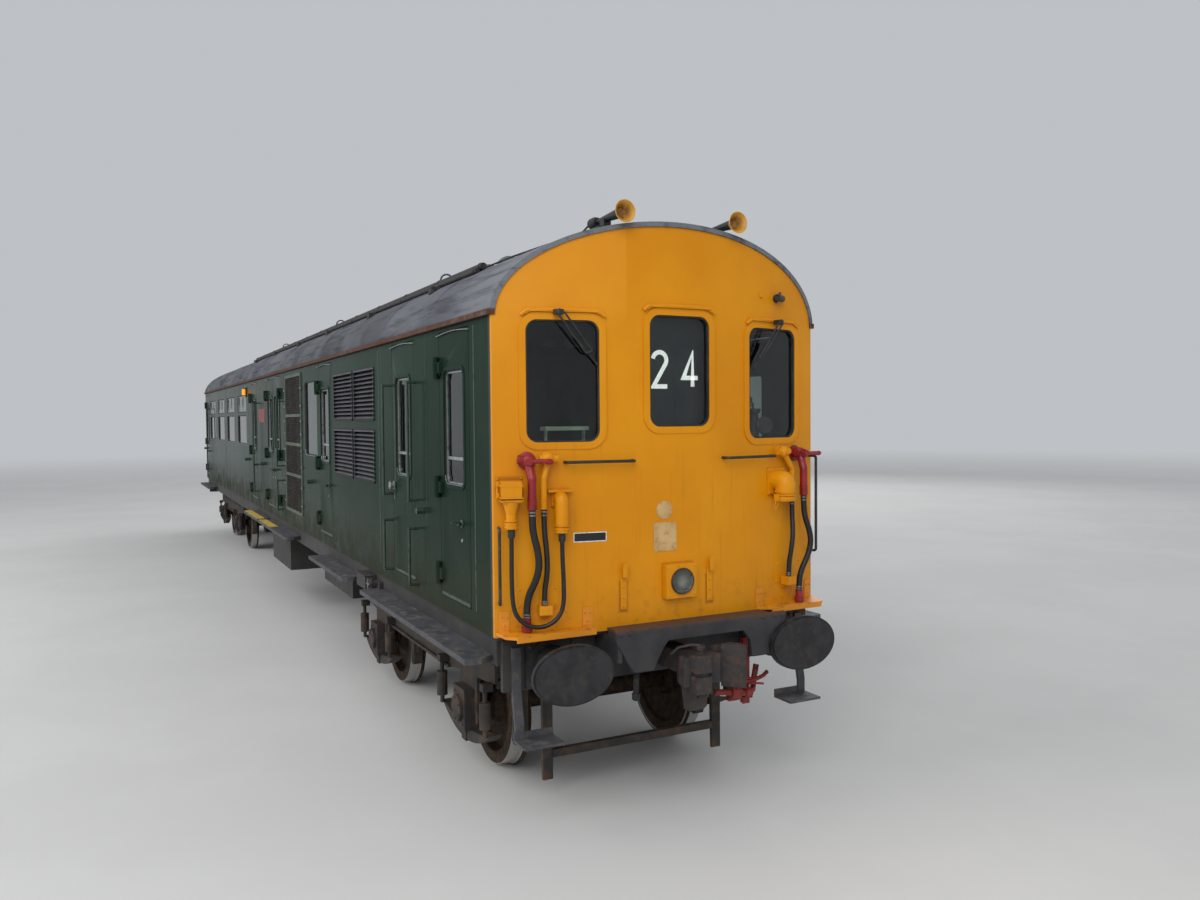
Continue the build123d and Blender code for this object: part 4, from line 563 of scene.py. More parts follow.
class Bench:
    """Plain forms in drawing millimetres that become one mesh."""

    def __init__(self):
        self.points, self.faces, self.paints = [], [], []

    def add(self, points, faces, paint=0, place=Matrix()):
        start = len(self.points)
        self.points += [place @ Vector(p) for p in points]
        self.faces += [tuple(start + i for i in face) for face in faces]
        self.paints += [paint] * len(faces)

    def skin(self, rings, paint=0, place=Matrix(), closed=False):
        """A skin over rings with the same number of points, with a face at each end unless it is closed."""
        count, n = len(rings), len(rings[0])
        faces = [(i * n + k, i * n + (k + 1) % n, (i + 1) % count * n + (k + 1) % n, (i + 1) % count * n + k)
                 for i in range(count if closed else count - 1) for k in range(n)]
        if not closed:
            faces += [range(n)[::-1], range((count - 1) * n, count * n)]
        self.add([p for ring in rings for p in ring], faces, paint, place)

    def box(self, x0, x1, y0, y1, z0, z1, paint=0, place=Matrix()):
        self.skin([[(x, y0, z0), (x, y1, z0), (x, y1, z1), (x, y0, z1)] for x in (x0, x1)], paint, place)

    def tube(self, route, radius, paint=0, sides=10, place=Matrix(), closed=False):
        """A round bar along a route, with its corners mitred."""
        route, rings, out = [Vector(p) for p in route], [], None
        ways = [(b - a).normalized() for a, b in zip(route, route[1:] + route[:1])]
        before = ways[-1:] + ways[:-1]
        if not closed:
            before[0], ways[-1] = ways[0], ways[-2]
        for point, way, last in zip(route, ways, before):
            along = (way + last).normalized()
            out = out or along.orthogonal()
            out = (out - along * out.dot(along)).normalized()
            rings.append(circle(point, along, out, radius, sides))
        self.skin(rings, paint, place, closed)

    def turned(self, profile, start, along=(0, 0, 1), paint=0, sides=28, place=Matrix()):
        """A lathe form: profile is distance along the axis and radius, closed where it meets the axis."""
        axis = Vector(along).normalized()
        out = axis.orthogonal().normalized()
        self.skin([circle(Vector(start) + axis * far, axis, out, max(radius, 0.05), sides)
                   for far, radius in profile], paint, place)

    def stud(self, profile, place, paint=0, sides=28):
        """A lathe form that stands straight out from where it is placed."""
        self.turned(profile, (0, 0, 0), (1, 0, 0), paint, sides, place)

    def plate(self, outline, thick, paint=0, place=Matrix()):
        """A plate cut to an outline in y and z, standing thick along x."""
        self.skin([[(x, y, z) for y, z in outline] for x in (0, thick)], paint, place)

    def ring(self, outer, inner, thick, paint=0, place=Matrix()):
        """A flat frame between two outlines with the same number of points."""
        rings = [[(0, *a), (0, *b), (thick, *b), (thick, *a)] for a, b in zip(outer, inner)]
        self.skin(rings, paint, place, closed=True)

    def mirrored(self):
        """The same forms on the car's other side."""
        other = Bench()
        other.points = [Vector((p.x, -p.y, p.z)) for p in self.points]
        other.faces, other.paints = self.faces, self.paints
        return other

    def both_sides(self):
        """Adds the mirror image of everything made so far, on the car's left."""
        start = len(self.points)
        self.points += self.mirrored().points
        self.faces += [tuple(start + i for i in face) for face in self.faces]
        self.paints += self.paints

    def mesh(self, name):
        mesh = bpy.data.meshes.new(name)
        mesh.from_pydata([at(*p) for p in self.points], [], self.faces)
        mesh.polygons.foreach_set("material_index", self.paints)
        tidy = bmesh.new()
        tidy.from_mesh(mesh)
        bmesh.ops.recalc_face_normals(tidy, faces=tidy.faces)
        tidy.to_mesh(mesh)
        tidy.free()
        return mesh


def rounded(wide, high, radius, steps=6, middle=(0, 0)):
    """Outline of a rectangle with round corners, centred on middle."""
    outline = []
    for cy, cz, start in ((1, 1, 0), (-1, 1, pi / 2), (-1, -1, pi), (1, -1, 3 * pi / 2)):
        y, z = middle[0] + cy * (wide / 2 - radius), middle[1] + cz * (high / 2 - radius)
        outline += [(y + radius * cos(a), z + radius * sin(a)) for a in spread(start, start + pi / 2, steps)]
    return outline


def fit(name, form, paints, node, bevel=0.0, smooth=35):
    """Fits a bench's forms, or a mesh, as a piece that goes with a CAD node, in paints given by name."""
    mesh = form.mesh(name) if isinstance(form, Bench) else form
    for paint in paints.split():
        mesh.materials.append(PAINT[paint])
    mesh.polygons.foreach_set("use_smooth", [True] * len(mesh.polygons))
    mesh.set_sharp_from_angle(angle=radians(smooth))
    piece = shown(name, mesh, node)
    if bevel:
        edge = piece.modifiers.new("edges", "BEVEL")
        edge.width, edge.segments, edge.limit_method, edge.angle_limit = bevel / 1000, 2, "ANGLE", radians(40)
    return piece


print("bench ready; the sheet at the corner stands", round(face_x(1200)), "mm ahead of the posts")

# %% [markdown]
# ## Doors with glass in them
# A door leaf and its pane came from the CAD as one piece, but they need two finishes. Their meshes
# don't touch, so a copy is welded and parted into its loose shells: the thinnest one is the pane. A
# narrow bevel on the leaf catches the light along its edges, as folded sheet does.

# %% Part each door into leaf and pane
def shells_of(whole):
    """The loose shells of a mesh, each as a set of vertex numbers."""
    left, found = set(whole.verts), []
    while left:
        shell, edge = set(), [left.pop()]
        while edge:
            vert = edge.pop()
            shell.add(vert.index)
            near = {link.other_vert(vert) for link in vert.link_edges} & left
            left -= near
            edge += near
        found.append(shell)
    return found


DOORS = [n for n in NODES if "door" in n]
for node in DOORS:
    whole = bmesh.new()
    whole.from_mesh(NODES[node].data)
    bmesh.ops.remove_doubles(whole, verts=whole.verts, dist=0.00002)
    bmesh.ops.dissolve_limit(whole, angle_limit=radians(1), verts=whole.verts, edges=whole.edges)
    whole.verts.index_update()
    across = [v.co.x if node == "rear_door" else v.co.y for v in whole.verts]
    spans = [sorted((across[i], i) for i in shell) for shell in shells_of(whole)]
    pane = {i for across, i in min(spans, key=lambda span: span[-1][0] - span[0][0])}
    finish = "varnished_ply" if node == "rear_door" else "coach_green"
    for kind, paint, bevel in (("leaf", finish, 1.5), ("pane", "side_glass", 0)):
        part, mesh = whole.copy(), bpy.data.meshes.new(f"{node}_{kind}")
        drop = [v for v in part.verts if (v.index in pane) != (kind == "pane")]
        bmesh.ops.delete(part, geom=drop, context="VERTS")
        part.to_mesh(mesh)
        part.free()
        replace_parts(fit(f"{node}_{kind}", mesh, paint, node, bevel), node)
    whole.free()
print("parted", len(DOORS), "doors")

# %% [markdown]
# ## Repeats by Geometry Nodes
# Bolt heads and rivets repeat by the hundred, and so do the wires over the radiator. A small node tree
# sets one form on every point, makes the lot solid and paints it. One tree puts low domes on loose
# points that carry the way they face, the other lays bars in a row. Their sizes are named inputs, so
# one tree serves every row of rivets on the car.

# %% Two node trees
def repeat_tree(name, inputs, nodes, links):
    """A tree that repeats a form. A link reads: node, its output, the next node, its input."""
    tree = bpy.data.node_groups.new(name, "GeometryNodeTree")
    for label, kind in inputs:
        tree.interface.new_socket(label, in_out="INPUT", socket_type="NodeSocket" + kind)
    tree.interface.new_socket("Geometry", in_out="OUTPUT", socket_type="NodeSocketGeometry")
    made = {key: tree.nodes.new(kind) for key, kind in {
        "given": "NodeGroupInput", "placed": "GeometryNodeInstanceOnPoints", "result": "NodeGroupOutput",
        "solid": "GeometryNodeRealizeInstances", "paint": "GeometryNodeSetMaterial", **nodes}.items()}
    for start, source, end, target in links + [
            ("placed", "Instances", "solid", "Geometry"), ("solid", "Geometry", "paint", "Geometry"),
            ("given", "Paint", "paint", "Material"), ("paint", "Geometry", "result", "Geometry")]:
        tree.links.new(made[start].outputs[source], made[end].inputs[target])
    return tree, made


RIVET_TREE, made = repeat_tree(
    "heads_on_points",
    [("Geometry", "Geometry"), ("Head Radius", "Float"), ("Head Height", "Float"), ("Paint", "Material")],
    {"head": "GeometryNodeMeshCone", "crown": "ShaderNodeMath", "facing": "GeometryNodeInputNamedAttribute",
     "turn": "FunctionNodeAlignRotationToVector"},
    [("given", "Head Radius", "head", "Radius Bottom"), ("given", "Head Height", "head", "Depth"),
     ("given", "Head Radius", "crown", 0), ("crown", 0, "head", "Radius Top"),
     ("facing", "Attribute", "turn", "Vector"), ("given", "Geometry", "placed", "Points"),
     ("head", "Mesh", "placed", "Instance"), ("turn", "Rotation", "placed", "Rotation")])
made["head"].inputs["Vertices"].default_value = 8
made["crown"].operation = "MULTIPLY"
made["crown"].inputs[1].default_value = 0.6     # the dome's top is this much of its foot
made["facing"].data_type = "FLOAT_VECTOR"
made["facing"].inputs["Name"].default_value = "facing"
made["turn"].axis = "Z"

BAR_TREE, made = repeat_tree(
    "bars_in_a_row",
    [("Bars", "Int"), ("Start", "Vector"), ("Step", "Vector"), ("Bar Size", "Vector"), ("Paint", "Material")],
    {"row": "GeometryNodeMeshLine", "bar": "GeometryNodeMeshCube"},
    [("given", "Bars", "row", "Count"), ("given", "Start", "row", "Start Location"),
     ("given", "Step", "row", "Offset"), ("given", "Bar Size", "bar", "Size"),
     ("row", "Mesh", "placed", "Points"), ("bar", "Mesh", "placed", "Instance")])


def grown(name, mesh, tree, values):
    """Runs a tree on a mesh and gives back the plain mesh it makes. Values are the tree's inputs."""
    seed = shown(name + "_seed", mesh)
    modifier = seed.modifiers.new("grow", "NODES")
    modifier.node_group = tree
    for item in tree.interface.items_tree:
        if item.name in values:
            modifier[item.identifier] = values[item.name]
    scene_now = bpy.context.evaluated_depsgraph_get()
    plain = bpy.data.meshes.new_from_object(seed.evaluated_get(scene_now), depsgraph=scene_now)
    seed.modifiers.clear()
    bpy.data.objects.remove(seed)
    plain.name = name
    return plain


def rivets(name, spots, radius, high, paint, node):
    """Rivet or bolt heads on spots, each a drawing point and the way it faces."""
    points = bpy.data.meshes.new(name + "_points")
    points.from_pydata([at(*p) for p, way in spots], [], [])
    facing = points.attributes.new("facing", "FLOAT_VECTOR", "POINT")
    facing.data.foreach_set("vector", [v for p, way in spots for v in way])
    head = {"Head Radius": radius / 1000, "Head Height": high / 1000, "Paint": PAINT[paint]}
    shown(name, grown(name, points, RIVET_TREE, head), node)


print("trees have", len(RIVET_TREE.nodes), "and", len(BAR_TREE.nodes), "nodes")

# %% [markdown]
# ## Fittings on the cab front
# The three windows sit in black rubber, the middle one with the route number blinds behind it, and the
# plates are left blank. A wide plate is cut into columns that follow the bulge instead of bridging it.

# %% Window rubbers, number blinds and their digits
def panel(bench, y0, y1, z0, z1, low, high, paint=0, columns=8):
    """A thin plate that bends with the sheet and stands from low to high off it."""
    bench.skin([[on_sheet(y, z, out) for z, out in ((z0, low), (z1, low), (z1, high), (z0, high))]
                for y in spread(y0, y1, columns)], paint)


def stroke(bench, route, width, low, high):
    """A painted line of even width along points in y and z, with mitred corners."""
    route, rings = [Vector(p) for p in route], []
    ways = [(b - a).normalized() for a, b in zip(route, route[1:])]
    for p, before, after in zip(route, ways[:1] + ways, ways + ways[-1:]):
        along = (before + after).normalized()
        side = Vector((-along.y, along.x)) * width / 2 / max(0.5, along.dot(after))
        rings.append([(low, *(p + side)), (low, *(p - side)), (high, *(p - side)), (high, *(p + side))])
    bench.skin(rings)


def blind_black():
    """Worn black blind, flecked where its paint has come off near the top."""
    f = Finish("blind_black")
    flecks = f.patches(0.012, 0.71, 0.74, detail=4) * (f.rise(f.z, 3.05, 3.12) * f.rise(f.z, 3.24, 3.18))
    paint = f.layers((15, 16, 21), (f.patches(0.3, 0.4, 0.7), (26, 28, 34)), (flecks, (170, 172, 174)))
    f.finish(paint, 0.5, f.cloud(0.02), 0.0004)


def glowing(name, glow, strength, dull, bright, rough, low=0.3, size=0.02, bump=None):
    f = Finish(name)
    f.shader.inputs["Emission Color"].default_value = glow
    f.shader.inputs["Emission Strength"].default_value = strength
    f.finish(f.coat(f.patches(size, low, 0.7), dull, bright), rough, bump and f.cloud(bump), 0.0005)


blind_black()
glowing("lit_digits", (1, 1, 0.97, 1), 0.55, (232, 232, 228), (206, 208, 204), 0.5, low=0.4, size=0.05)

rubbers = Bench()
for y, half, foot, head in ((-816, 239, 2474, 3244), (0, 231, 2564, 3294), (816, 239, 2474, 3244)):
    wide, high = 2 * half, head - foot
    rubbers.ring(rounded(wide - 1, high - 1, 75, 8), rounded(wide - 22, high - 22, 64, 8), 20.6, 0,
                 on_face(y, (foot + head) / 2, -21.6))
fit("front_window_rubbers", rubbers, "window_gasket", "cab_glass", 1.5)

BLIND_OF_DIGIT = 118        # distance of each digit's blind from the centre line
blinds = Bench()
blinds.box(121.9, 123.2, -237, 237, 2560, 3306)
for middle in (-BLIND_OF_DIGIT, BLIND_OF_DIGIT):
    outer, inner = rounded(214, 300, 8, 3, (middle, 2946)), rounded(196, 262, 6, 3, (middle, 2946))
    blinds.ring(outer, inner, 2.2, 0, Matrix.Translation((123.3, 0, 0)))
blinds.box(123.3, 125, -237, 237, 2800, 2804)
blinds.box(123.3, 126, -3, 3, 2560, 2796)
fit("number_blinds", blinds, "blind_black", "cab_desk", 0.6)

digits = Bench()
wide, high = 104, 226
half = wide / 2
bowl = [(half * cos(radians(a)), high - half + half * sin(radians(a))) for a in range(170, -41, -14)]
two = bowl + [(-half + 4, 0), (half + 6, 0)]
four = [(half + 10, high * 0.26), (-half, high * 0.26), (wide * 0.2, high), (wide * 0.2, 0)]
for route, middle in ((two, -BLIND_OF_DIGIT), (four, BLIND_OF_DIGIT)):
    stroke(digits, [(middle + y, 2830 + z) for y, z in route], 30, 123.4, 124.2)
fit("number_digits", digits, "lit_digits", "cab_desk")
print("front windows dressed")

# %% [markdown]
# Each side window has a wiper parked across its upper corner: two parallel arms from one spindle carry the
# blade, so that it keeps its slant as it sweeps. The right-hand wiper's arms are in a lighter metal finish, a
# painted highlight. Behind the glass, the cab's desk has a pale green rail and a brake column with a crank
# handle.

# %% Wipers, desk rail and brake column
WIPERS = [
    # spindle, two arm feet, two arm ends, blade top, blade foot, paint; paint 1, the lighter metal on the right
    # wiper's arms, is a painted highlight
    ((-850, 3288), ((-858, 3276), (-818, 3284)), ((-676, 3034), (-632, 3050)), (-738, 3137), (-593, 2963), 0),
    ((838, 3286), ((818, 3284), (852, 3276)), ((654, 3030), (696, 3052)), (745, 3140), (622, 2955), 1),
]
wiping = Bench()
for spindle, feet, ends, top, foot, paint in WIPERS:
    middle = [(a + b) / 2 for a, b in zip(top, foot)]
    wiping.box(-23, 17, -30, 30, -17, 17, 0, on_face(*spindle, 44))
    wiping.turned([(0, 0), (0, 20), (8, 20), (12, 12), (12, 0)], on_sheet(*spindle, 60), (1, 0, 0), 0, 16)
    for radius, colour, sides, *route in (
            (12, 0, 14, (*spindle, 4.6), (*spindle, 60)),
            *[(6.5, paint, 8, (*start, 58), (*start, 66), (*end, 34)) for start, end in zip(feet, ends)],
            (6, paint, 8, (*ends[0], 34), (*ends[1], 34)), (4.5, paint, 8, (*middle, 24), (*ends[0], 34)),
            (5, paint, 8, (*top, 16), (*middle, 24), (*foot, 16)),
            (8, 0, 8, (*top, 6), (*middle, 7), (*foot, 6))):
        wiping.tube([on_sheet(*p) for p in route], radius, colour, sides)
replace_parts(fit("wiper_linkages", wiping, "fitting_black buffer_grease", "wipers"), "wipers")

desk = Bench()
desk.box(-70, 20, -900, -590, 2546, 2572)
for y in (-880, -610):
    desk.box(-40, -10, y - 6, y + 6, 2462.6, 2546)
for place, sides, profile in (
        ((-170, 850, 2462.6), 24, [(0, 0), (0, 46), (180, 40), (200, 56), (222, 56), (222, 0)]),
        ((-100, 770, 2700), 14, [(0, 0), (0, 12), (10, 20), (60, 20), (70, 10), (70, 0)])):
    desk.turned(profile, place, paint=1, sides=sides)
desk.tube([(-170, 850, 2684), (-170, 850, 2720), (-130, 800, 2730), (-100, 770, 2730)], 9, 1)
desk.turned([(0, 0), (0, 60), (16, 66), (24, 60), (24, 0)], (-110, 905, 2560), (1, -0.4, 0), 1, 24)
fit("desk_rail_and_brake", desk, "cab_interior_green fitting_black", "cab_desk", 1.5)
print("wipers and desk fitted")

# %% [markdown]
# The headlamp has a fluted glass in a black ring. Its reflector is a flat disc, painted lighter at its middle
# and darker towards its rim as a painted reflection, and its bump is drawn as rings and ribs, which breaks up
# the light as pressed glass does.

# %% Headlamp, plates and panels
LAMP_Y, LAMP_Z = -28, 1547


def lamp_reflector():
    f = Finish("lamp_reflector", metallic=0.35)
    dy, dz = f.y - LAMP_Y / 1000, f.z - (LAMP_Z + RAIL) / 1000
    out = (dy * dy + dz * dz) ** 0.5
    # A lighter middle fading to a darker rim: a painted reflection on the flat disc.
    paint = f.layers((190, 186, 174), (f.rise(out, 0.01, 0.06), (122, 118, 106)),
                     (f.patches(0.04, 0.4, 0.7) * 0.4, (84, 84, 80)))
    f.finish(paint, 0.22, (dy * 700).sine() * 0.25 + out * 60, 0.006, 0.8)


lamp_reflector()
lamp, rim = Bench(), Bench()
lamp.stud([(63.02, 0), (63.02, 75), (63.3, 75), (63.3, 0)], on_face(LAMP_Y, LAMP_Z))
fit("headlamp_reflector", lamp, "lamp_reflector", "lamp_fittings")
section = [(63.1, 76.2), (63.1, 87.5), (70, 87.5), (76, 84), (76, 79), (73, 76.2)]
rim.skin([[(x, r * c, r * s) for x, r in section] for c, s in around(40)], 0, on_face(LAMP_Y, LAMP_Z), True)
fit("headlamp_ring", rim, "underframe_black", "lamp_fittings")

plates = Bench()
panel(plates, -758, -539, 1835, 1897, 0.3, 1.3, 0)
panel(plates, -752, -545, 1841, 1891, 1.3, 1.9, 1)
plates.stud([(0.5, 0), (0.5, 58), (2.4, 60), (3.6, 58.5), (3.6, 0)], on_face(-126, 2016), 2, 40)
plates.plate(rounded(171, 191, 14, 5), 3, 2, on_face(-122, 1840, 0.5))
fit("blank_plates", plates, "plate_white blind_black plate_cream", "cab_front", 0.5)


def bolts(*places):
    """Spots for bolts on the cab front, each facing out of the sheet."""
    return [(place.translation, place.to_3x3() @ Vector((1, 0, 0))) for place in [on_face(*p) for p in places]]


screws = bolts(*[(y, z, 3.5) for y in (-198, -46) for z in (1926, 1755)],
               *[(-126 + 50 * c, 2016 + 50 * s, 3.6) for c, s in around(6)])
rivets("plate_screws", screws, 4, 2, "rail_steel", "cab_front")

LOW_COVERS = ((-1123, -854, 1570), (838, 1115, 1596))     # two edges and the top; their foot is at 1432
covers = Bench()
for y0, y1, top in LOW_COVERS:
    panel(covers, y0, y1, 1432, top, 0.3, 2.4, columns=10)
panel(covers, 684, 712, 3456, 3484, 0.3, 14, columns=2)
for y, wide, z in ((-808, 522, 3302), (0, 532, 3352), (816, 500, 3300)):
    half = wide / 2
    visor = [(half + 8, -34), (half - 16, -12), (half - 34, -1), (half / 2, 2)]
    across = [(-dy, dz) for dy, dz in visor] + [(0, 2)] + visor[::-1]
    covers.tube([on_sheet(y + dy, z + dz, 13) for dy, dz in across], 11)
fit("front_covers", covers, "warning_yellow", "cab_front", 1.2)

# %% Bolts, hose bands, cable sleeves and the small camera
SIGNS = [(a, b) for a in (-1, 1) for b in (-1, 1)]
FLANGES = ((-850, 2122, 38, 44, 14.4), (842, 2168, 68, 78, 14.4), (-1153, 2200, 72, 52, 1))
spots = bolts(
    *[(y + dy, z, 9) for y in (-1195, -672, 672, 1195) for dy, z in ((-16, 1385), (16, 1385), (0, 1330))],
    *[(y, z, 8.6) for y in (-427, 225) for z in (1402, 1462, 1530)],
    *[(y + a * dy, z + b * dz, out) for y, z, dy, dz, out in FLANGES for a, b in SIGNS],
    *[(y, z, 55) for y in (-126, 70) for z in (1641, 1453)],
    *[(y, z, 2.4) for y0, y1, top in LOW_COVERS for y in (y0 + 22, y1 - 22) for z in (1450, top - 20)])
rivets("front_bolts", spots, 9, 7, "warning_yellow", "cab_front")

HOSES = (       # cord, heights of the bands at its upper and lower end, paint and radius of the pipe above it
    ("brake_hose_left", (2046, 2026), (1388, 1404), 2, 27),
    ("air_hose_left", (2046, 2024), (1468, 1482), 0, 20),
    ("brake_hose_right", (2046, 2026), (1388, 1404), 2, 27),
    ("air_hose_right", (2020, 2000), (1494, 1508), 0, 20),
)
bands = Bench()
for name, upper, lower, *_ in HOSES:
    radius, route = CORDS[name]
    for (x, y, _), heights in ((route[0], upper), (route[-1], lower)):
        for z in heights:
            bands.turned(disc(radius + 3, 9, radius), (x, y, z - 4.5), sides=24)
            bands.box(x + radius, x + radius + 12, y - 5, y + 5, z - 5, z + 5)
cable_radius, route = CORDS["jumper_cable"]
for (x, y, _), top in ((route[0], 1945), (route[-1], 1911)):
    for k in range(6):
        bands.turned(disc(23 - k % 2 * 2, 9, cable_radius), (x, y, top - 9 * k - 9.6), paint=1, sides=24)
fit("hose_bands", bands, "rail_steel window_gasket", "brake_cocks", 0.6)

# %% [markdown]
# The couplings are castings: elbows bend smoothly, collars ring their ends, the lid of the left socket
# closes on a rubber seal, and each cock sits on a round flange under a bonnet nut. Pipes end in ribs
# that the hoses are clamped on.

# %% Elbows, collars, lid and cock bonnets
# Place across, tube radius, bend as distance out and height, collars as height and radius.
ELBOWS = (
    (-850, 44, ((10, 2124), (50, 2126), (70, 2123), (80, 2113), (84, 2096), (82, 1962)),
     ((1952, 48), (1932, 51))),
    (842, 71, ((10, 2172), (60, 2174), (82, 2170), (92, 2162), (97, 2146), (93, 2084)),
     ((2092, 77), (2070, 81), (2044, 80))),
)
castings = Bench()
for y, radius, bend, collars in ELBOWS:
    castings.tube([on_sheet(y, z, out) for out, z in bend], radius, 0, 24)
    foot = on_sheet(y, 0, bend[-1][0])
    for z, wide in collars:
        castings.turned(disc(wide, 9, radius - 6), (foot.x, foot.y, z))
castings.box(-24, 20, -78, 78, -8, 8, 0, on_face(-850, 2170, 30))
castings.box(-16, 16, -11, 11, -24, 24, 0, on_face(758, 2060, 93))
chain = ((756, 2052, 96), (744, 2010, 88), (752, 1972, 84), (772, 1992, 86), (780, 2040, 92))
castings.tube([on_sheet(*p) for p in chain], 4, 0, 6)
for z, size, paint in ((2122, 71, 0), (2130, 65, 1), (2138, 71, 0)):
    castings.box(-size + 6, size - 4, -size, size, -3.6, 3.6, paint, on_face(-1153, z, 72))
for z in (2152, 2222):
    castings.box(-30, 6, -9, 9, -14, 14, 0, on_face(-1228, z, 62))
castings.turned(disc(6, 110), on_sheet(-1230, 2130, 50), sides=12)
x, y, _ = CORDS["jumper_cable"][1][0]
for z, wide in ((1992, 41), (1974, 44), (1954, 43)):
    castings.turned(disc(wide, 8, 30), (x, y, z))
for name, _, _, paint, radius in HOSES:
    x, y, _ = CORDS[name][1][0]
    for k in range(5):
        castings.turned(disc(radius + 4, 7, radius - 3), (x, y, 2064 + 15 * k), paint=paint, sides=22)
for y, z, out, hub, paint in ((-1048, 2360, 0, 33, 2), (1045, 2360, 0, 33, 2), (-921, 2372, -30, 26, 0),
                              (880, 2376, -30, 26, 0)):
    flange = 2 * hub - 8
    castings.stud([(1, 0), (1, flange), (12, flange), (16, hub + 8), (16, 0)], on_face(y, z), paint, 24)
    bonnet = [(88, 0), (88, hub), (104, hub), (108, hub - 7), (122, hub - 7), (122, 0)]
    castings.stud(bonnet, on_face(y, z, out), paint, 6)
for y in (-927, 1188):
    castings.turned([(0, 0), (0, 15), (30, 19), (46, 12), (46, 0)], on_sheet(y, 2357, 105) - Vector((0, 23, 0)),
                    (0, 1, 0), 2, 16)
fit("coupling_castings", castings, "warning_yellow window_gasket brake_red", "jumper_gear", 1.5, 40)

cab_eye, place = Bench(), on_face(853, 3457)
cab_eye.stud([(0.4, 0), (0.4, 30), (6, 30), (6, 14), (26, 14), (26, 0)], place, 0, 20)
cab_eye.turned([(-48, 0), (-48, 17), (-44, 24), (30, 24), (34, 27), (44, 27), (46, 20), (40, 16), (40, 0)],
               (40, 0, 0), (0.35, -0.9, 0), 0, 24, place)
cab_eye.turned(disc(8, 18), (40, 0, 24), (0, 0, 1), 0, 10, place)
fit("cab_eye", cab_eye, "fitting_black", "lamp_fittings", 0.8)
print("castings fitted, and", len(spots), "bolts on the front")

# %% [markdown]
# ## Doors and windows along the side
# Each drop window has a bright sill, a metal frame and a rail across it where the pane is pulled up.
# The saloon windows sit in rubber, with sliding vents above. Everything is drawn for the right-hand
# side, as distance out from the sheet, and mirrored for the left. What sits on a door rides on it.

# %% Door furniture
def rim(light, inset, steps=5):
    """Outline of a window opening (front, rear, foot, head, corner radius), drawn in by inset."""
    front, rear, foot, head, radius = light
    return rounded(front - rear - 2 * inset, head - foot - 2 * inset, max(2, radius - inset), steps,
                   ((front + rear) / 2, (foot + head) / 2))


def frame_in(bench, light, outer, inner, deep, paint, out, steps=5):
    """A frame in a window opening, between two insets, whose back is out from the sheet."""
    bench.ring(rim(light, outer, steps), rim(light, inner, steps), deep, paint, on_side(out=out))


def sill_lip(bench, light, inset, deep, thick):
    """A bright strip round the bottom of a window opening, up to a little past its corners."""
    bench.skin([[(GAP, y, z), (GAP, y, z + thick), (-deep, y, z + thick), (-deep, y, z)]
                for y, z in sorted(p for p in rim(light, inset, 8) if p[1] < light[2] + 75)], 0, on_side())


SIDE_PAINTS = "window_alloy window_gasket rail_steel hardware_green"
DOOR_ROWS = (       # name, the leaf's front and rear edge, knob; a door without a knob opens inwards
    ("cab_door", -430, -1054, -595),
    ("guard_door", -1706, -2330, None),
    ("engine_door", -4819, -5484, -4984),
    ("luggage_door_front", -8186, -8805, -8715),
    ("luggage_door_rear", -8815, -9434, -8905),
    ("passenger_door", -10530, -11174, -10695),
    ("end_door", -18560, -19204, -18725),
)
KNOB_Z, LOCK_Z = 1914, 1800
for name, front, rear, knob in DOOR_ROWS:
    bench = Bench()
    light = (front - 105, rear + 105, 2167, 2964, 55)
    frame_in(bench, light, 0.6, 20, 9, 0, -21.6)
    frame_in(bench, light, 0.4, 9, 7, 1, -12.4)
    bench.box(-20, -13, rear + 125, front - 125, 2342, 2364, 0, on_side())
    sill_lip(bench, light, 0.8, 20, 5)
    if knob:
        bench.stud([(GAP, 0), (GAP, 30), (4, 30), (9, 22), (9, 12.4)], on_side(knob, KNOB_Z), 3, 24)
        bench.stud([(GAP, 0), (GAP, 15), (5, 13), (5, 0)], on_side(knob, LOCK_Z), 2, 18)
        for end in (-1, 1):
            bench.turned([(0, 0), (2, 12), (9, 13), (12, 8), (12, 0)], (46, end * 55.3, 0), (0, end, 0), 3, 14,
                         on_side(knob, KNOB_Z))
    else:
        bench.stud([(12.4, 0), (12.4, 34), (18, 34), (22, 24), (40, 22), (46, 34), (52, 34), (56, 24), (56, 0)],
                   on_side(rear + 60, 2080))
        bench.box(GAP, 5, rear + 22, rear + 60, 1960, 2020, 3, on_side())
    bench.box(GAP, 2.4, rear + 14, front - 14, 1366, 1392, 3, on_side())
    for node, made in ((name + "_right", bench), (name + "_left", bench.mirrored())):
        fit(node + "_fittings", made, SIDE_PAINTS, node, 0.7)
print("dressed", 2 * len(DOOR_ROWS), "doors")

# %% Saloon windows, vents and panel joints
glazing = Bench()
for middle in range(-12450, -18000, -1750):
    tall, vent = (middle + 595, middle - 595, 2212, 2718, 45), (middle + 595, middle - 595, 2768, 3072, 45)
    for light in (tall, vent):
        frame_in(glazing, light, 0.5, 15, 15, 1, -19.4)
    for front, rear in ((middle - 6, middle - 578), (middle + 578, middle + 6)):
        frame_in(glazing, (front, rear, 2786, 3054, 20), 0, 17, 8, 0, -19.2, steps=3)
    glazing.box(-11, -6, middle - 24, middle - 14, 2850, 2990, 2, on_side())
    sill_lip(glazing, tall, 0.6, 18, 4)
light = (-5600, -6340, 2205, 3085, 60)
frame_in(glazing, light, 0.5, 16, 15, 1, -19.4)
sill_lip(glazing, light, 0.7, 18, 5)
JOINTS = [(x, 2.5, 1.1) for x in (-1400, -2660, -4752, -6455, -7850, -11560, -15075, -18320)]
for joint, half, proud in JOINTS + [(-330, 9, 1.4), (-2790, 9, 1.4)]:
    glazing.box(0.3, proud, joint - half, joint + half, 1362, 3236, 3, on_side())
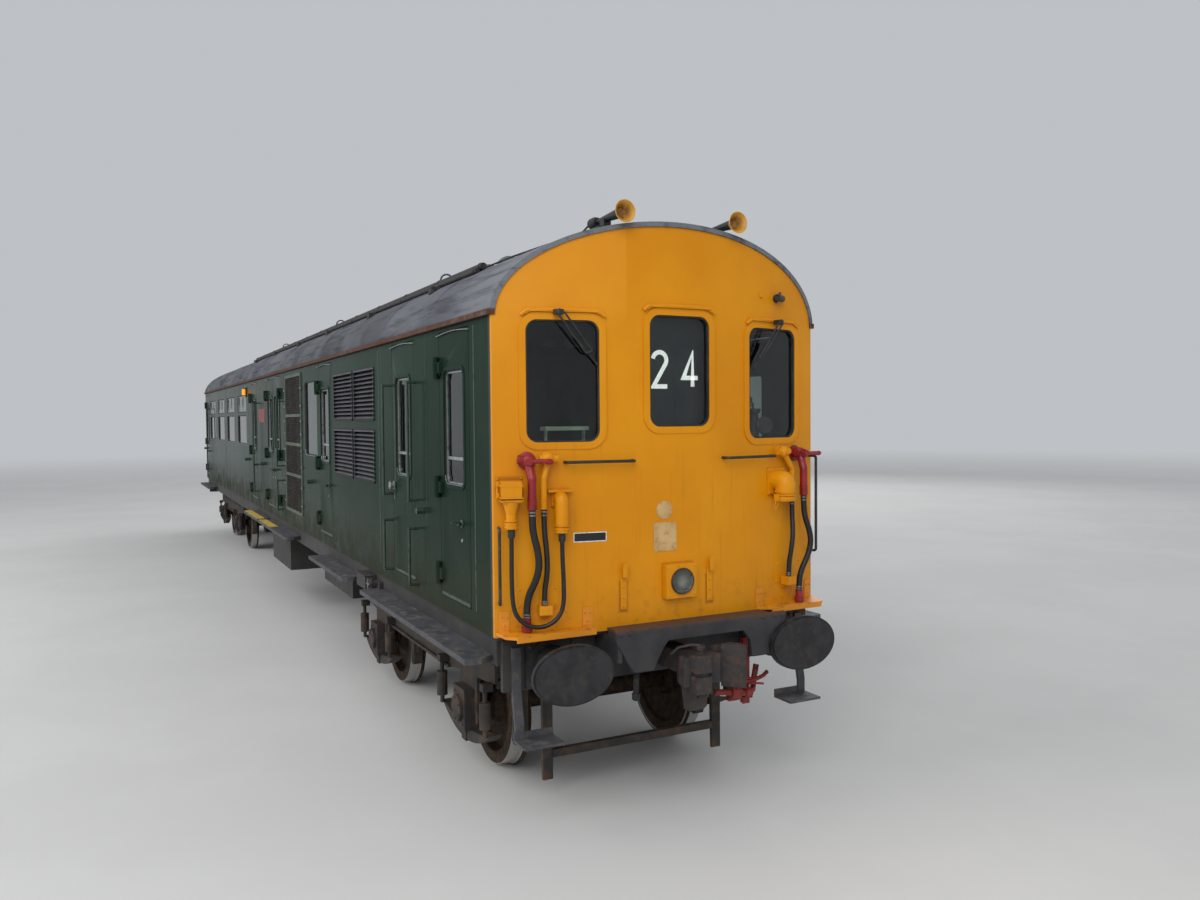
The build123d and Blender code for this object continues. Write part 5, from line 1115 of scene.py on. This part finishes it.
# Rain strips over the doors, each a row of short straight pieces along a flat arch.
for front, rear in ((-400, -1080), (-1680, -2360), (-4789, -5510), (-8160, -9460), (-10500, -11200),
                    (-18530, -19230)):
    arch = [(y, 3212 + 16 * sin(a)) for y, a in zip(spread(rear, front, 8), spread(0, pi, 8))]
    rings = [[(GAP, y, z), (GAP, y, z + 9), (16, y, z + 5), (16, y, z)] for y, z in arch]
    for ends in zip(rings, rings[1:]):
        glazing.skin(ends, 0, on_side())
for x in (-4734, -8074):
    glazing.ring(rounded(150, 150, 10, 3), rounded(142, 142, 8, 3), 1.4, 3, on_side(x, 1390, 0.3))
glazing.both_sides()
fit("side_windows_trim", glazing, SIDE_PAINTS, "side_walls", 0.6)

# %% [markdown]
# The radiator guard is covered by woven wire. The tree that lays bars in a row runs once for the
# uprights and once for the cross wires of each side.

# %% Wire mesh over the radiator
front, rear, foot, head = -6605, -7710, 1475, 3172      # the guard's opening
WIRE_THICK, EDGE = 0.003, 14
for side, label in ((-1, "right"), (1, "left")):
    y = side * (HALF + 2)
    for kind, bars, start, step, size in (
            ("uprights", 38, at(rear + EDGE, y, (foot + head) / 2), ((front - rear - 2 * EDGE) / 37000, 0, 0),
             (WIRE_THICK, WIRE_THICK, (head - foot) / 1000)),
            ("cross_wires", 56, at((front + rear) / 2, y + side * 2.4, foot + EDGE),
             (0, 0, (head - foot - 2 * EDGE) / 55000), ((front - rear) / 1000, WIRE_THICK, WIRE_THICK))):
        name = f"radiator_{kind}_{label}"
        wires = grown(name, bpy.data.meshes.new(name + "_seed"), BAR_TREE, {
            "Bars": bars, "Start": start, "Step": step, "Bar Size": size, "Paint": PAINT["radiator_wire"]})
        shown(name, wires, "radiator_grilles")
print("radiator wires laid by", BAR_TREE.name)

# %% [markdown]
# ## Small things on the body side
# A red sign left blank, an amber door light, a fuel filler with its valve on the solebar, clips round
# the radiator guard, and yellow treads on the steps by the luggage doors.

# %% Side fittings
glowing("amber_lens", rgb(255, 150, 20), 0.9, (240, 130, 10), (255, 168, 30), 0.3, bump=0.01)
trim = Bench()
trim.plate(rounded(620, 210, 8, 3), 2.5, 0, on_side(-9990, 2700, 0.3))
trim.box(GAP, 16, -25, 25, -30, 130, 1, on_side(-11801, 3060))
trim.turned([(0, 0), (0, 24), (8, 30), (92, 30), (100, 24), (100, 0)], (38, 0, 0), (0, 0, 1), 2, 20,
            on_side(-11801, 3060))
for x0, x1 in ((-9332, -8230), (-10998, -9524)):
    trim.box(x0, x1, -1414, -1300, 1150.4, 1153, 3)
    for k in range(12):
        x = x0 + (k + 0.5) * (x1 - x0) / 12
        trim.box(x - 12, x + 12, -1410, -1304, 1153, 1155, 3)
for z in (1560, 1790, 2040, 2240, 2450, 2610, 2800, 3020):
    for x in (-6556, -7759):
        trim.box(12.4, 18, -20, 20, -12, 12, 4, on_side(x, z))
        trim.stud(disc(8, 6), on_side(x, z, 18), 4, 10)
fit("side_trim", trim, "sign_red window_gasket amber_lens tread_yellow window_alloy", "side_walls", 1)

SOLEBAR = -1225 - GAP
filler = Bench()
filler.box(-3400, -3080, -1330, SOLEBAR, 1085, 1200)
filler.box(-3408, -3072, -1338, SOLEBAR, 1200, 1212)
cap = [(0, 0), (0, 26), (60, 26), (64, 46), (84, 46), (88, 30), (88, 0)]
filler.turned(cap, (-2990, SOLEBAR, 1150), (0, -1, 0), 0, 26)
filler.box(-3036, -2944, -1330, -1314, 1142, 1158, 1)
filler.box(-2998, -2982, -1330, -1314, 1104, 1196, 1)
filler.box(-2880, -2830, -1262, SOLEBAR, 1120, 1180, 2)
filler.turned(disc(62, 620), (-1800, -1120, 1000), (1, 0, 0), 3)
filler.both_sides()
fit("solebar_fittings", filler, "underframe_black rail_steel coupler_rust cylinder_blue", "underframe", 2)
print("side trimmed")

# %% [markdown]
# ## Roof and horns
# Cross straps cover the joints between the roof sheets, and a black conduit runs back from the horns
# along the right-hand side of the roof, held by saddles. The straps follow the ellipse that the roof
# was drawn with.

# %% Roof straps, conduit, saddles and horn cables
def roof_z(y, gap=0.0):
    return 3271 + (631 + gap) * sqrt(1 - (y / (1265 + gap)) ** 2)


straps = Bench()
for x in (-1320, -2640, -5285, -7930, -10570, -13210, -15850, -18490):
    wide = 26 if x in (-2640, -7930) else 16
    straps.skin([[(x + dx, y, roof_z(y, gap)) for dx, gap in ((-wide, 0.3), (-wide, 4), (wide, 4), (wide, 0.3))]
                 for y in spread(-1240, 1240, 48)])
for x in (-3017, -7560, -12000):        # lifting rings
    for y in (-538, 538):
        z = roof_z(y)
        straps.tube([(x, y + 60 * s, z + 66 + 60 * c) for c, s in around(18)], 9, sides=8, closed=True)
        straps.box(x - 34, x + 34, y - 26, y + 26, z - 11.5, z + 14)
fit("roof_straps", straps, "roof_grey", "roof", 1)

CONDUIT_Y, CONDUIT_END = -905, -12900
pipes = Bench()
for y, radius in ((CONDUIT_Y, 26), (CONDUIT_Y - 50, 18)):
    lift = roof_z(y) + radius + 3
    pipes.tube([(-1050, y, lift), (CONDUIT_END, y, lift)], radius, sides=14)
    for k in range(13):
        pipes.turned(disc(radius + 4, 26), (-1113 - k * 980, y, lift), (1, 0, 0), sides=14)
for x in (-1900, -3960, -6020, -7940, -10000, -12060):
    for a, b in ((-820, -900), (-900, -980), (-980, -1050)):
        pipes.skin([[(x + dx, y, roof_z(y) + gap) for y, gap in ((a, 0.6), (a, 11), (b, 11), (b, 0.6))]
                    for dx in (-26, 26)])
    pipes.box(x - 40, x + 40, -1050, -1010, roof_z(-1050) + 2, roof_z(-1010) + 34)
for side, run in ((-1, -830), (1, 420)):
    y = side * 433
    cable = [(-400, y + side * 30, 18), (-520, (run + y) / 2, 12), (-700, run, 10), (-1200, run, 10)]
    pipes.tube([(-228, y, 3932), (-270, y + side * 4, 3930), (-320, y + side * 14, roof_z(y) + 40)]
               + [(x, across, roof_z(across) + up) for x, across, up in cable], 7, sides=8)
    foot = roof_z(abs(y) - 44)
    pipes.box(-150, -40, y - 44, y + 44, foot + 1, foot + 16)
    pipes.turned([(0, 0), (0, 34), (12, 38), (60, 38), (70, 30), (70, 0)], (-230, y, 3932), (1, 0, 0), sides=20)
fit("roof_conduit", pipes, "window_gasket", "horns", 1)


def horn_paint():
    """Black stem, yellow bell, darker inside where no rain reaches."""
    f = Finish("horn_paint")
    throat = f.rise(f.x, 9.882, 9.84) * f.patches(0.03, 0.3, 0.6, 0.4, 1, detail=7)
    gold = f.layers((196, 142, 48), (f.patches(0.05, 0.3, 0.7), (214, 160, 66)), (throat, (120, 78, 30)))
    f.finish(f.coat(f.rise(f.x, 9.814, 9.818), (24, 24, 27), gold), 0.4, f.cloud(0.01), 0.0005)


horn_paint()
wear("horns", "horn_paint")
print("roof done")

# %% [markdown]
# ## Bogies, buffers and the coupler
# Bolts hold the axlebox covers and the buffer plates. Below the right-hand side of the beam hang the
# red main pipes with their cocks, and between the coupler's lugs stands its pin.

# %% Bolts on the running gear
FRAME_Y = 978       # distance of the bogie's frame plates from the centre line
for name, centre, wheelbase, wheel_r in (("front", -2553, 2591, 457), ("rear", -16727, 2667, 508)):
    # Each place is where along the car, how far out from the frame plate, and how high.
    places = [(centre + k * wheelbase / 15, 38.2, 892) for k in range(-7, 8)]
    for axle in (centre - wheelbase / 2, centre + wheelbase / 2):
        places += [(axle + 78 * c, 118.2, wheel_r + 78 * s) for c, s in around(12)[1::2]]
        places += [(axle + 82 * a, 90.2, wheel_r + 110 * b) for a, b in SIGNS]
    spots = [((x, side * (FRAME_Y + out), z), (0, side, 0)) for side in (-1, 1) for x, out, z in places]
    rivets(f"bogie_bolts_{name}", spots, 11, 9, "bogie_grime", f"bogie_frame_{name}")

spots = [((32.2, y + a * 145, 1058 + b * 120), (1, 0, 0)) for y in (-880, 880) for a, b in SIGNS]
spots += [((340.2, y, 1262), (1, 0, 0)) for y in (-540, -470, 560, 660, 720)]
rivets("beam_bolts", spots, 14, 11, "beam_grey", "beam_plate")

# %% Coupler pin, chain and the red pipes beside it
PIN_X, PIN_Y = 486, -40
gear = Bench()
gear.turned([(0, 0), (0, 22), (20, 30), (34, 30), (40, 20), (40, 0)], (PIN_X, PIN_Y, 1130.4), sides=22)
gear.turned([(0, 0), (0, 18), (14, 24), (30, 24), (30, 0)], (PIN_X, PIN_Y, 859.6), (0, 0, -1), 0, 22)
for k in range(6):
    turn = Matrix.Rotation(radians(35), 4, "Y") @ Matrix.Rotation(pi / 2 * (k % 2), 4, "Z")
    link = [(22 * s, 0, 32 * c) for c, s in around(14)]
    gear.tube(link, 6, 0, 8, Matrix.Translation((120 + 18 * k, 250 + 10 * k, 1000 - 26 * k)) @ turn, True)
for corners in ((20, 60, 596, 636, 590, 1062), (58, 66, 586, 646, 590, 930), (60, 110, 440, 640, 640, 656)):
    gear.box(*corners, 1)
# Pipes: radius, paint, sides, and the points of the route.
for radius, paint, sides, *route in (
        (9, 0, 10, (PIN_X, PIN_Y, 1168), (466, -100, 1176), (396, -150, 1150), (336, -170, 1096.5)),
        (21, 1, 14, (130, 300, 730), (130, 400, 716), (130, 470, 700), (130, 560, 690), (110, 640, 700),
         (40, 700, 750), (30, 730, 850)),
        (8, 1, 8, (130, 480, 740), (132, 480, 790), (140, 520, 800), (150, 600, 795)),
        (8, 1, 8, (130, 588, 722), (132, 588, 750), (150, 620, 756), (170, 690, 748)),
        (14, 1, 12, (130, 560, 770), (130, 640, 772), (125, 720, 790), (120, 760, 815)),
        (20, 2, 14, (130, 300, 730), (110, 270, 745), (60, 250, 860), (2, 240, 980)),
        (19, 2, 14, (40, -260, 1010), (110, -300, 930), (120, -310, 860), (100, -300, 800))):
    gear.tube(route, radius, paint, sides)
gear.turned([(0, 0), (0, 36), (14, 40), (66, 40), (80, 34), (80, 0)], (130, 440, 706), (0, 1, -0.1), 1, 22)
gear.turned([(0, 0), (0, 30), (50, 30), (56, 20), (56, 0)], (130, 560, 690), (0, 1, 0.05), 1, 20)
gear.turned([(0, 0), (0, 27), (40, 27), (48, 18), (48, 0)], (100, -300, 800), (0, 0, -1), 2, 20)
fit("coupler_gear", gear, "coupler_rust pipe_red window_gasket", "couplers", 1.5)
print("coupler gear hung")

# %% [markdown]
# ## Seats
# Sprung cushions bulge in the middle and pull in where the cloth is tacked to the frame. Each pad is a
# grid folded into a box, whose faces are pushed out by a smooth crown, so that it stays soft at the
# edges without a long cloth simulation for every one of them.

# %% Crowned cushions
def pad(bench, x0, x1, y0, y1, z0, z1, crown=14, steps=8):
    """A box of cloth with softly swollen sides and a flat underside, drawn inside its given size."""
    low, high = Vector((x0 + crown, y0 + crown, z0)), Vector((x1 - crown, y1 - crown, z1 - crown))
    middle, half = (low + high) / 2, (high - low) / 2
    block = bmesh.new()
    bmesh.ops.create_cube(block, size=2)
    bmesh.ops.subdivide_edges(block, edges=block.edges, cuts=steps, use_grid_fill=True)
    points = []
    for vert in block.verts:
        p = vert.co
        soft = p.copy()
        for i, j, k in ((0, 1, 2), (1, 2, 0), (2, 0, 1)):
            if abs(p[i]) > 0.999 and not (i == 2 and p[i] < 0):
                soft[i] = p[i] * (1 + (1 - p[j] ** 4) * (1 - p[k] ** 4) * crown / half[i])
        drawn_in = 1 - 0.045 * sum(abs(c) > 0.999 for c in p) / 3
        points.append(middle + soft * half * drawn_in)
    block.verts.index_update()
    bench.add(points, [[v.index for v in f.verts] for f in block.faces])
    block.free()


FLOOR = 1323.4
SEAT_FOOT, SEAT_TOP, BACK_FOOT, BACK_TOP = FLOOR + 330.4, FLOOR + 460, FLOOR + 461, FLOOR + 1130
saloon, cab = Bench(), Bench()
for bay in range(4):
    for facing in (-1, 1):
        back = -12450 - bay * 1750 - facing * 765
        for left in (-1179, 319):
            for deep, foot, top in ((470, SEAT_FOOT, SEAT_TOP), (110, BACK_FOOT, BACK_TOP)):
                pad(saloon, *sorted((back, back + facing * deep)), left, left + 860, foot, top)
for y in (-760, 760):
    pad(cab, -1005, -630, y - 200, y + 200, FLOOR + 452.4, FLOOR + 540)
    pad(cab, -1010, -930, y - 190, y + 190, FLOOR + 541, FLOOR + 980)
for name, bench in (("saloon_cushions", saloon), ("cab_seat_cushions", cab)):
    piece = fit(name, bench, "seat_cloth", "seat_cushions", smooth=60)
    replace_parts(piece, "seat_cushions")
    print(name, len(piece.data.polygons), "faces")

# %% [markdown]
# ## Floor and light
# Under an overcast sky a car has one huge soft light from above, here a little stronger from its
# right, and pale ground that throws light back up. Three large lamps and a grey world do the
# same. The floor is level with the wheel flanges and is not part of the car.

# %% Studio
def soft_lamp(name, place, target, size, power):
    lamp = bpy.data.lights.new(name, "AREA")
    lamp.shape, lamp.size, lamp.energy = "SQUARE", size, power
    aim = (Vector(target) - Vector(place)).to_track_quat("-Z", "Y").to_matrix().to_4x4()
    shown(name, lamp).matrix_world = Matrix.Translation(place) @ aim


def set_sky(shader):
    """Gives a glowing shader the sky's colour."""
    shader.inputs["Color"].default_value = (0.83, 0.86, 0.9, 1)
    shader.inputs["Strength"].default_value = 0.62


FLOOR_REACH = 140
MELT_FROM, MELT_TO = 14, 70     # metres from the car over which the floor turns into sky


def pale_floor():
    """A pale matt floor that melts into the sky's colour far from the car, where it is looked at."""
    f = Finish("studio_floor")
    f.finish(f.coat(f.patches(3, 0.4, 0.6), (204, 203, 201), (200, 199, 197)), 0.9)
    path = f.nodes.new("ShaderNodeLightPath").outputs
    camera, glossy, through = [Value(path[f"Is {kind} Ray"]) for kind in ("Camera", "Glossy", "Transmission")]
    haze, melt = f.nodes.new("ShaderNodeEmission"), f.nodes.new("ShaderNodeMixShader")
    set_sky(haze)
    far = f.rise((f.x * f.x + f.y * f.y) ** 0.5, MELT_FROM, MELT_TO)
    join(far * camera.largest(glossy.largest(through)), melt.inputs[0])
    join(Value(f.shader.outputs[0]), melt.inputs[1])
    join(Value(haze.outputs[0]), melt.inputs[2])
    join(Value(melt.outputs[0]), f.output)
    mesh = bpy.data.meshes.new("studio_floor")
    corners = [(-FLOOR_REACH, -FLOOR_REACH, 0), (FLOOR_REACH, -FLOOR_REACH, 0), (FLOOR_REACH, FLOOR_REACH, 0),
               (-FLOOR_REACH, FLOOR_REACH, 0)]
    mesh.from_pydata(corners, [], [(0, 1, 2, 3)])
    mesh.materials.append(f.material)
    shown("studio_floor", mesh)


soft_lamp("sky_over_cab", (22, -9, 13), (7, 0, 1.8), 14, 1950)
soft_lamp("sky_over_side", (2, -19, 13), (0, 0, 2), 18, 2600)
soft_lamp("sky_behind", (-14, 19, 16), (-4, 0, 2), 18, 1900)
world = bpy.data.worlds.new("overcast")
world.use_nodes = True
set_sky(world.node_tree.nodes["Background"])
bpy.context.scene.world = world
bpy.context.scene.view_settings.view_transform = "Standard"
pale_floor()
print("studio set")
